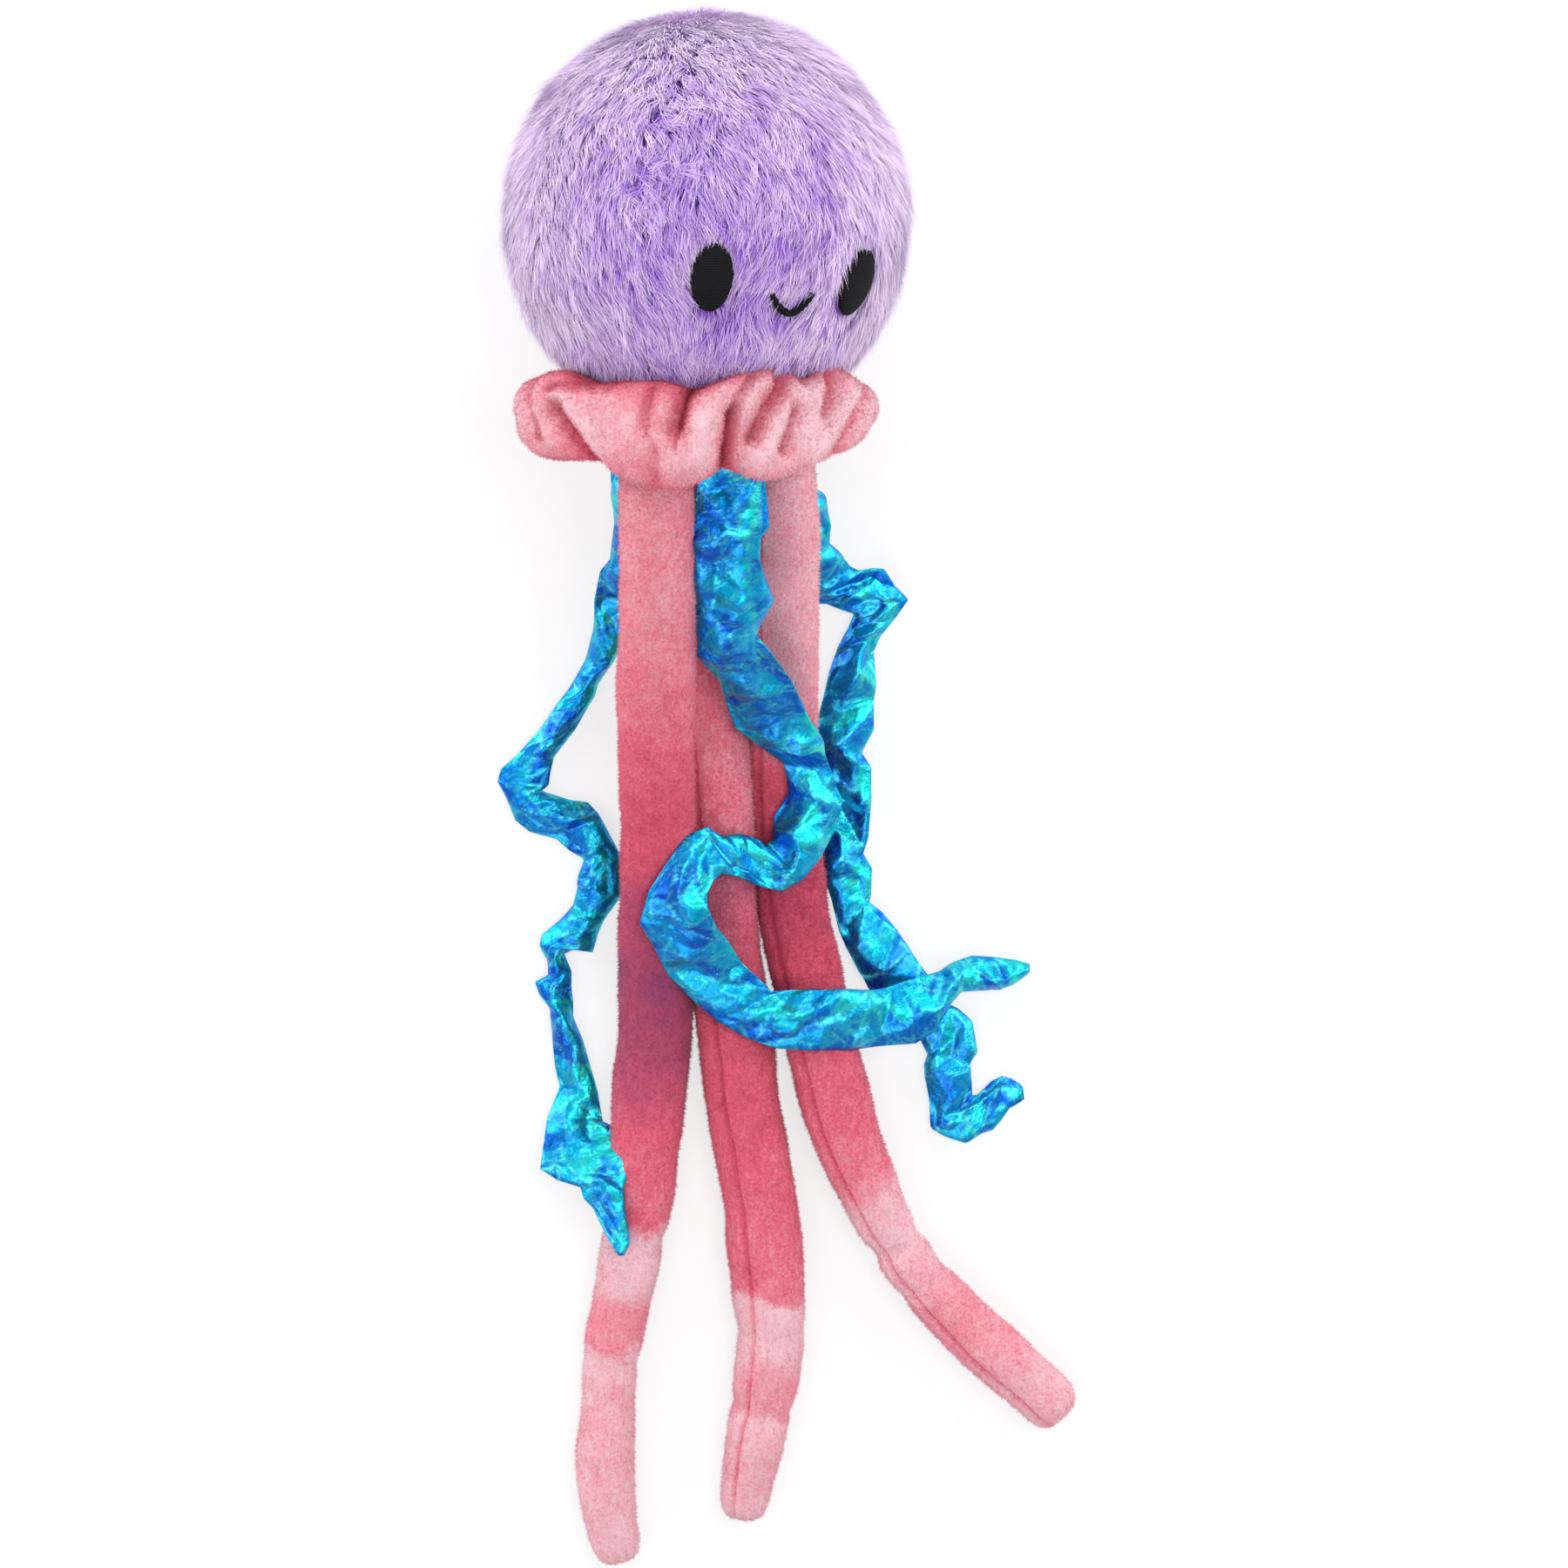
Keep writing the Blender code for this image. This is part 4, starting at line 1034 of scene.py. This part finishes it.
def leg_points(node, seam):
    line, side, up, sizes, places = limb_frame(node, LEG_STEP)
    turn = round_turns(LEG_SIDES)
    share = places / places[-1]
    left = places[-1] - places
    points = np.empty((len(line), LEG_SIDES, 3))
    for index in range(len(line)):
        close = (1 - (1 - min(left[index] / FOOT_TIP + 0.02, 1)) ** 2.3) ** (1 / 2.3)
        half_width, half_height = sizes[index] * (0.3 + 0.7 * close)
        # A stuffed tube lies a little flat below and full above
        across = np.sign(np.cos(turn)) * np.abs(np.cos(turn)) ** 0.92 * half_width
        rise = np.where(np.sin(turn) > 0, 1.0, 0.96) * np.sign(np.sin(turn)) * np.abs(np.sin(turn)) ** 0.9
        ring = line[index] + side[index] * across[:, None] + up[index] * (rise * half_height)[:, None]
        outward = unit(ring - line[index])
        press = wisps(ring, LEG_LUMPS[0]) * LEG_LUMPS[1]
        for place, deep in KINKS[node]:
            crooked = share[index] - place + 0.004 * np.sin(turn * 2 + 1)
            press -= deep * MM * np.exp(-(crooked * places[-1] / KINK_WIDTH) ** 2)
        press -= SEAM_DEPTH * seam_share(turn, seam, half_width)
        gathered = math.exp(-(left[index] / FOOT_PLEATS[0]) ** 1.3) * FOOT_PLEATS[1]
        press += gathered * np.cos(turn * PLEATS + 0.8 * np.sin(turn * 3))
        points[index] = ring + outward * press[:, None]
    # The drawn-together end turns in on itself
    ahead = unit(line[-1:] - line[-2:-1])
    last = points[-1]
    for shrink, back in ((0.8, 0.0), (0.55, 0.6), (0.3, 2.2), (0.1, 3.4)):
        ring = line[-1] + (last - line[-1]) * shrink - ahead * back * MM
        points = np.concatenate((points, ring[None]))
    points[..., 2] = np.maximum(points[..., 2], LEG_REST)
    return points


for name, (seam, nap) in LEGS.items():
    points = leg_points(name, seam)
    leg = tube(name, points, ring_shaped=False)
    down = np.repeat(np.arange(len(points)) / len(points), LEG_SIDES).reshape(-1, LEG_SIDES)
    sewn = np.tile(seam_share(round_turns(LEG_SIDES), seam, LEG_HALF_WIDTH), (len(points), 1))
    mark(leg, "nap", down)
    mark(leg, "seam", sewn)
    rose = Finish(f"rose_velour_{name}")
    along = rose.marked("nap")
    # The leg's shade, partly the velour's nap and partly painted light and shade, has edges that wander,
    # and is painted darker in the seam's groove as shade
    stops = [(place, (shade, shade, shade, 1)) for place, shade in nap]
    shade = rose.ramp(along + (rose.cloud(14 * MM, 2) - 0.5) * 0.05, *stops)
    shade = shade - rose.marked("seam") * SEAM_PAINTED_SHADE
    # Painted shadow where the sleeves shade the leg, in a greyer colour
    middle, reach, strength = PAINTED_SHADOWS[name]
    painted_shadow_mask = (1 - ((along - middle) / reach) ** 2) * (rose.cloud(16 * MM, 3) * 1.6) * strength
    rose = velour(rose, shade, ((0.0, ROSE_DEEP), (0.45, ROSE), (0.72, ROSE_LIGHT), (1.0, ROSE_PALE)),
                  painted_shadow_mask.clipped())
    settle(leg, f"{name}_stuffed", "rose_velour", rose, name)
    hairs = fuzz("nap", points, False, LEG_HAIRS, down, along_nap=True, bare=sewn)
    settle(hairs, f"{name}_nap", "rose_velour", rose)


# The sleeves: limp tubes of metallic film lined with crackle paper, crumpled along their whole
# length. Each is drawn by its creases, from the ruffle to the free end, as (x, y, x, y) of their
# two ends in the photograph's frame of 1800 x 1800.
PHOTO_SIZE = 1800
SLEEVES = {
    "sleeve_left": (
        (705, 600, 728, 602), (700, 642, 728, 645), (689, 656, 728, 662), (683, 687, 726, 690),
        (681, 723, 713, 745), (672, 757, 706, 755), (655, 788, 686, 785), (640, 807, 682, 800),
        (619, 838, 660, 838), (594, 866, 636, 869), (575, 883, 632, 886), (571, 897, 630, 901),
        (582, 917, 622, 908), (592, 942, 653, 918), (608, 955, 675, 921), (639, 963, 686, 933),
        (653, 976, 700, 959), (671, 986, 709, 976), (664, 1006, 714, 988), (663, 1019, 715, 1026),
        (659, 1039, 692, 1057), (643, 1056, 686, 1072), (622, 1073, 680, 1093),
        (619, 1085, 661, 1089), (629, 1103, 648, 1095), (629, 1119, 656, 1115),
        (614, 1127, 656, 1135), (619, 1141, 658, 1149), (632, 1158, 658, 1167),
        (634, 1187, 669, 1195), (638, 1224, 678, 1227), (643, 1247, 686, 1253),
        (628, 1284, 692, 1287), (623, 1322, 716, 1299), (620, 1342, 735, 1309),
        (640, 1355, 730, 1325), (666, 1363, 716, 1362), (670, 1376, 717, 1385),
        (682, 1388, 721, 1408), (700, 1425, 723, 1428), (709, 1441, 717, 1441)),
    "sleeve_right": (
        (912, 575, 947, 571), (908, 605, 954, 604), (905, 628, 952, 624), (903, 652, 966, 637),
        (905, 676, 976, 650), (920, 690, 986, 655), (933, 694, 1001, 652), (948, 693, 1015, 653),
        (967, 701, 1028, 673), (980, 705, 1043, 688), (973, 722, 1030, 707), (962, 742, 1010, 732),
        (952, 770, 1003, 748), (945, 801, 1006, 787), (939, 823, 1003, 804), (934, 838, 1003, 838),
        (938, 860, 989, 864), (942, 880, 1000, 881), (945, 915, 999, 933), (942, 950, 997, 961),
        (942, 986, 991, 980), (947, 1012, 1001, 996), (954, 1031, 1000, 1026), (963, 1068, 998, 1036),
        (968, 1080, 1013, 1047), (980, 1104, 1031, 1069), (998, 1135, 1048, 1095),
        (1009, 1147, 1064, 1118), (1024, 1168, 1081, 1149), (1057, 1194, 1100, 1158),
        (1065, 1210, 1116, 1172), (1061, 1222, 1122, 1208), (1062, 1238, 1113, 1222),
        (1067, 1264, 1115, 1243), (1069, 1295, 1115, 1259), (1083, 1304, 1121, 1258),
        (1110, 1312, 1138, 1241), (1127, 1301, 1150, 1235), (1140, 1297, 1161, 1238),
        (1150, 1286, 1174, 1246), (1152, 1276, 1176, 1262)),
    "sleeve_centre": (
        (800, 560, 878, 549), (798, 581, 881, 580), (796, 597, 883, 606), (793, 618, 873, 617),
        (798, 641, 872, 641), (798, 664, 878, 664), (800, 689, 887, 691), (799, 714, 871, 721),
        (801, 735, 869, 730), (800, 753, 886, 750), (827, 783, 910, 783), (830, 797, 917, 799),
        (844, 836, 931, 829), (864, 851, 940, 846), (900, 877, 955, 886), (903, 892, 960, 903),
        (905, 911, 968, 920), (889, 937, 960, 950), (888, 962, 941, 987), (881, 970, 919, 1011),
        (869, 963, 897, 1023), (852, 957, 873, 1018), (828, 960, 846, 1006), (812, 949, 829, 1003),
        (786, 961, 820, 1010), (766, 990, 812, 1025), (744, 1024, 812, 1041), (734, 1060, 822, 1064),
        (749, 1084, 835, 1079), (767, 1119, 852, 1106), (797, 1150, 870, 1122),
        (827, 1174, 886, 1138), (858, 1192, 910, 1136), (888, 1203, 934, 1136),
        (934, 1206, 960, 1136), (980, 1204, 995, 1137), (1011, 1200, 1017, 1134),
        (1051, 1197, 1041, 1125), (1074, 1183, 1063, 1120), (1090, 1153, 1080, 1115),
        (1103, 1138, 1097, 1104), (1127, 1137, 1115, 1097), (1148, 1134, 1145, 1099),
        (1168, 1126, 1167, 1102), (1182, 1116, 1182, 1107)),
}
FILM_STEP = 0.9 * MM
FILM_SIDES = 56
HIDDEN_STEP = 9 * MM
FILM_REST = 0.2 * MM
# The free end is drawn flat over this stretch
CLOSED_STRETCH = 9 * MM
# Flat facets that the film crumples into: how far apart their corners lie, how high the corners
# stand, in mm, and how much their own painted reflection and the painted highlight on their creases count
FACETS = ((10, 2.0, 0.6), (5, 0.95, 0.4), (2.6, 0.3, 0.0))
FACET_STRETCH = 1.4
# Width in mm of the painted highlight along a crease
CREASE_WIDTH = 0.8
# Creases slant by up to this share of their spacing, and pinch the tube flat by up to a half
SLANT = 0.45
PINCH_DEPTH = 0.5
PINCH_WIDTH = 0.22
DOWN = Vector((0, 0, -1))


def seen_at(place, height):
    """The point at a height above the floor that the camera sees at a place in the photograph."""
    eye = np.array(VIEW_MIDDLE + CAMERA_REACH)
    upward = np.array((0, math.cos(CAMERA_TILT), -math.sin(CAMERA_TILT)))
    across = (place[0] / PHOTO_SIZE - 0.5) * VIEW_WIDTH
    along = (0.5 - place[1] / PHOTO_SIZE) * VIEW_WIDTH
    target = np.array(VIEW_MIDDLE) + np.array((across, 0, 0)) + upward * along
    return eye + (target - eye) * (eye[2] - height) / (eye[2] - target[2])


def film_edges(node):
    """Both ends of each crease, and half the sleeve's thickness there, from its sewn end down."""
    line, side, up, sizes, places = limb_frame(node, 1 * MM)
    ends = []
    for x0, y0, x1, y1 in SLEEVES[node]:
        middle = ((x0 + x1) / 2, (y0 + y1) / 2)
        near = 0
        # The sleeve's solid says how high it lies there
        for trial in range(3):
            spot = seen_at(middle, line[near][2])
            near = int(np.argmin(np.linalg.norm((line - spot)[:, :2], axis=1)))
        height = line[near][2]
        ends.append((seen_at((x0, y0), height), seen_at((x1, y1), height), sizes[near][1], near))
    hidden = []
    skip = int(HIDDEN_STEP / MM)
    for index in range(0, max(ends[0][3] - skip, 1), skip):
        reach = side[index] * sizes[index][0]
        flip = np.sign(np.dot(ends[0][1] - ends[0][0], reach))
        hidden.append((line[index] - reach * flip, line[index] + reach * flip, sizes[index][1], index))
    return hidden + ends


def facets(low, high, length, apart, deep, crush):
    """A crumpled sheet of flat facets laid out flat: its tree, its corners and its faces."""
    step = np.array((apart, apart * FACET_STRETCH))
    across = np.arange(low - 2 * step[0], high + 3 * step[0], step[0])
    along = np.arange(-2 * step[1], length + 3 * step[1], step[1])
    spots = np.stack(np.meshgrid(across, along), axis=-1).reshape(-1, 2)
    spots = spots + crush.uniform(-0.45, 0.45, spots.shape) * step
    joined = delaunay_2d_cdt([Vector(spot) for spot in spots], [], [], 0, 1e-5)
    corners, faces = joined[0], joined[2]
    heights = crush.normal(size=len(corners)) * deep
    raised = [(*corner, height) for corner, height in zip(corners, heights)]
    return BVHTree.FromPolygons(raised, faces), np.array(corners), np.array(faces)


def folded(across, along, seed):
    """The crumpled film flat: its height in mm, its painted reflection and painted crease highlight, 0 to
    1.
    """
    crush = np.random.default_rng(seed)
    height, tone, crease_highlight = np.zeros((3, across.size))
    for apart, deep, counts in FACETS:
        sheet, corners, faces = facets(across.min(), across.max(), along.max(), apart, deep, crush)
        hits = [sheet.ray_cast(Vector((x, y, 50)), DOWN) for x, y in zip(across.ravel(), along.ravel())]
        height += [hit[0].z for hit in hits]
        met = np.array([hit[2] for hit in hits])
        tone += crush.random(len(faces))[met] * counts
        shine = crush.random(len(faces))[met] ** 2
        places = np.stack((across.ravel(), along.ravel()), axis=1)
        for first, second in ((0, 1), (1, 2), (2, 0)):
            start = corners[faces[met, first]]
            run = corners[faces[met, second]] - start
            away = np.abs(run[:, 0] * (places - start)[:, 1] - run[:, 1] * (places - start)[:, 0])
            away = away / np.linalg.norm(run, axis=1)
            crease_highlight = np.maximum(crease_highlight, shine * counts * 1.8 * np.clip(1 - away / CREASE_WIDTH, 0, 1))
    return (values.reshape(across.shape) for values in (height, tone, np.clip(crease_highlight, 0, 1)))


def crumpled(node, seed):
    """Rings of a film tube, flattened between its edges, puffed up between creases and folded."""
    crush = np.random.default_rng(seed)
    creases = film_edges(node)
    left = np.array([crease[0] for crease in creases])
    right = np.array([crease[1] for crease in creases])
    thick = np.array([crease[2] for crease in creases])
    middle = (left + right) / 2
    runs = np.concatenate(((0,), np.cumsum(np.linalg.norm(np.diff(middle, axis=0), axis=1))))
    count = round(runs[-1] / FILM_STEP) + 1
    stops = np.linspace(0, runs[-1], count)
    left, right, line = (np.stack([np.interp(stops, runs, column) for column in points.T], axis=1)
                         for points in (left, right, middle))
    thick = np.interp(stops, runs, thick)
    number = np.interp(stops, runs, np.arange(len(runs)))
    soft = line.copy()
    for sweep in range(12):
        soft[3:-3] = (soft[:-6] + 2 * soft[3:-3] + soft[6:]) / 4
    across = right - left
    upward = np.cross(across, np.gradient(soft, axis=0))
    upward = unit(upward * np.sign(upward[:, 2:]))
    turn = round_turns(FILM_SIDES)
    level = np.cos(turn)
    slant = np.interp(number, np.arange(len(runs)), crush.uniform(-SLANT, SLANT, len(runs)))
    place = number[:, None] + slant[:, None] * level[None, :]
    pinch = crush.uniform(0, 1, len(runs) + 2) ** 2
    pinch = pinch[np.clip(np.round(place).astype(int), 0, len(runs))]
    puff = np.exp(-(np.abs(place - np.round(place)) / PINCH_WIDTH) ** 1.2)
    puff = 1 - PINCH_DEPTH * pinch * puff
    flat = (1 - np.abs(level) ** 2) ** 0.8 * np.sign(np.sin(turn))
    closing = np.clip(0.35 + (stops[-1] - stops) / CLOSED_STRETCH, 0, 1)
    rise = flat[None, :] * thick[:, None] * closing[:, None] * np.where(flat > 0, puff, 0.9)
    points = (line[:, None, :] + across[:, None, :] / 2 * level[None, :, None]
              + upward[:, None, :] * rise[:, :, None])
    outward = (unit(across)[:, None, :] * (0.35 * level ** 3)[None, :, None]
               + upward[:, None, :] * np.sin(turn)[None, :, None]).reshape(-1, 3)
    half = np.linalg.norm(across, axis=1)[:, None] / 2 / MM
    # Laid out flat, the upper side comes first and the lower side follows beyond its right edge
    laid = half * np.where(np.sin(turn) >= 0, level, 2 - level)[None, :]
    height, tone, crease_highlight = folded(laid, np.broadcast_to(stops[:, None] / MM, laid.shape), seed)
    height *= closing[:, None] * (np.abs(np.sin(turn)) ** 0.4)[None, :]
    points = points.reshape(-1, 3) + outward * height.reshape(-1, 1) * MM
    points[:, 2] = np.maximum(points[:, 2], FILM_REST)
    return points.reshape(count, FILM_SIDES, 3), tone, crease_highlight


FILM_SHADES = ((0.0, colour(0, 84, 196)), (0.25, colour(0, 118, 210)), (0.5, colour(0, 146, 214)),
               (0.75, colour(0, 170, 212)), (1.0, colour(18, 206, 206)))
FILM_PAINTED_GLINT = colour(88, 228, 206)

# The film's colour is painted reflection: it changes from facet to facet and with the way the surface
# faces
film = Finish("blue_film")
normal = film.add("ShaderNodeNewGeometry", {}, {}, "Normal")
lean, lean_up = film.split("ShaderNodeSeparateXYZ", {"Vector": normal}, "X", "Y")
tone, crease_highlight = film.marked("tone"), film.marked("crease")
fine = film.cloud(1.3 * MM, 4)
painted_reflection = (tone - 0.5) * 1.15 + 0.5 + (lean * 3.0 + lean_up * 2.6).sine() * 0.25 + (fine - 0.5) * 0.4
film_shade = film.ramp(painted_reflection.clipped(), *FILM_SHADES)
# Painted glints gather in clusters, and a painted highlight runs along the creases
glint_clusters = ((film.cloud(8 * MM, 2) - 0.48) * 6).clipped()
painted_glints = ((film.cloud(0.8 * MM, 2) - 0.56) * 7).clipped() * glint_clusters
film_shade = film.mix((crease_highlight * (fine * 1.6) + painted_glints * 0.6).clipped(), film_shade, FILM_PAINTED_GLINT)
crinkle = film.cells(1.6 * MM, "SMOOTH_F1") + film.cloud(0.8 * MM, 3) * 0.7
film.set(Base_Color=film_shade, Metallic=0.9, Roughness=0.27 + film.cloud(5 * MM, 2) * 0.2,
         Coat_Weight=0.12, Coat_Roughness=0.14, Normal=film.bump(crinkle, 0.2 * MM))

for seed, name in enumerate(SLEEVES):
    points, tone, crease_highlight = crumpled(name, seed + 3)
    sleeve = tube(name, points, ring_shaped=False)
    # The painted reflection of each facet, and the painted highlight along the creases
    mark(sleeve, "tone", tone)
    mark(sleeve, "crease", crease_highlight)
    settle(sleeve, f"{name}_film", "blue_film", film.material, name)


# What the ball holds: white wadding round a plastic squeaker, and the velour patch that closes
# the neck under the ruffle.
batting = Finish("white_wadding")
batting.set(Base_Color=batting.mix(batting.cloud(6 * MM, 5), colour(222, 222, 220), colour(250, 250, 248)),
            Roughness=1.0, Specular_IOR_Level=0.05, Sheen_Weight=0.3,
            Normal=batting.bump(batting.cloud(1.5 * MM, 6, warp=1.5), 0.8 * MM))
plastic = Finish("white_plastic")
plastic.set(Base_Color=plastic.mix(plastic.cloud(9 * MM, 2), colour(232, 232, 228), colour(240, 240, 238)),
            Roughness=plastic.cloud(3 * MM, 3) * 0.12 + 0.34,
            Normal=plastic.bump(plastic.cloud(0.5 * MM, 2), 0.02 * MM))
rose = Finish("rose_velour_patch")
rose_patch = velour(rose, rose.cloud(20 * MM, 2), ((0.0, ROSE_DEEP), (0.5, ROSE), (1.0, ROSE_LIGHT)))
for node, material in (("head_wadding", batting.material), ("wadding_plug", batting.material),
                       ("squeaker", plastic.material), ("neck_patch", rose_patch)):
    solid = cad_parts[node]
    solid.data.materials.clear()
    solid.data.materials.append(material)

bpy.context.view_layer.update()
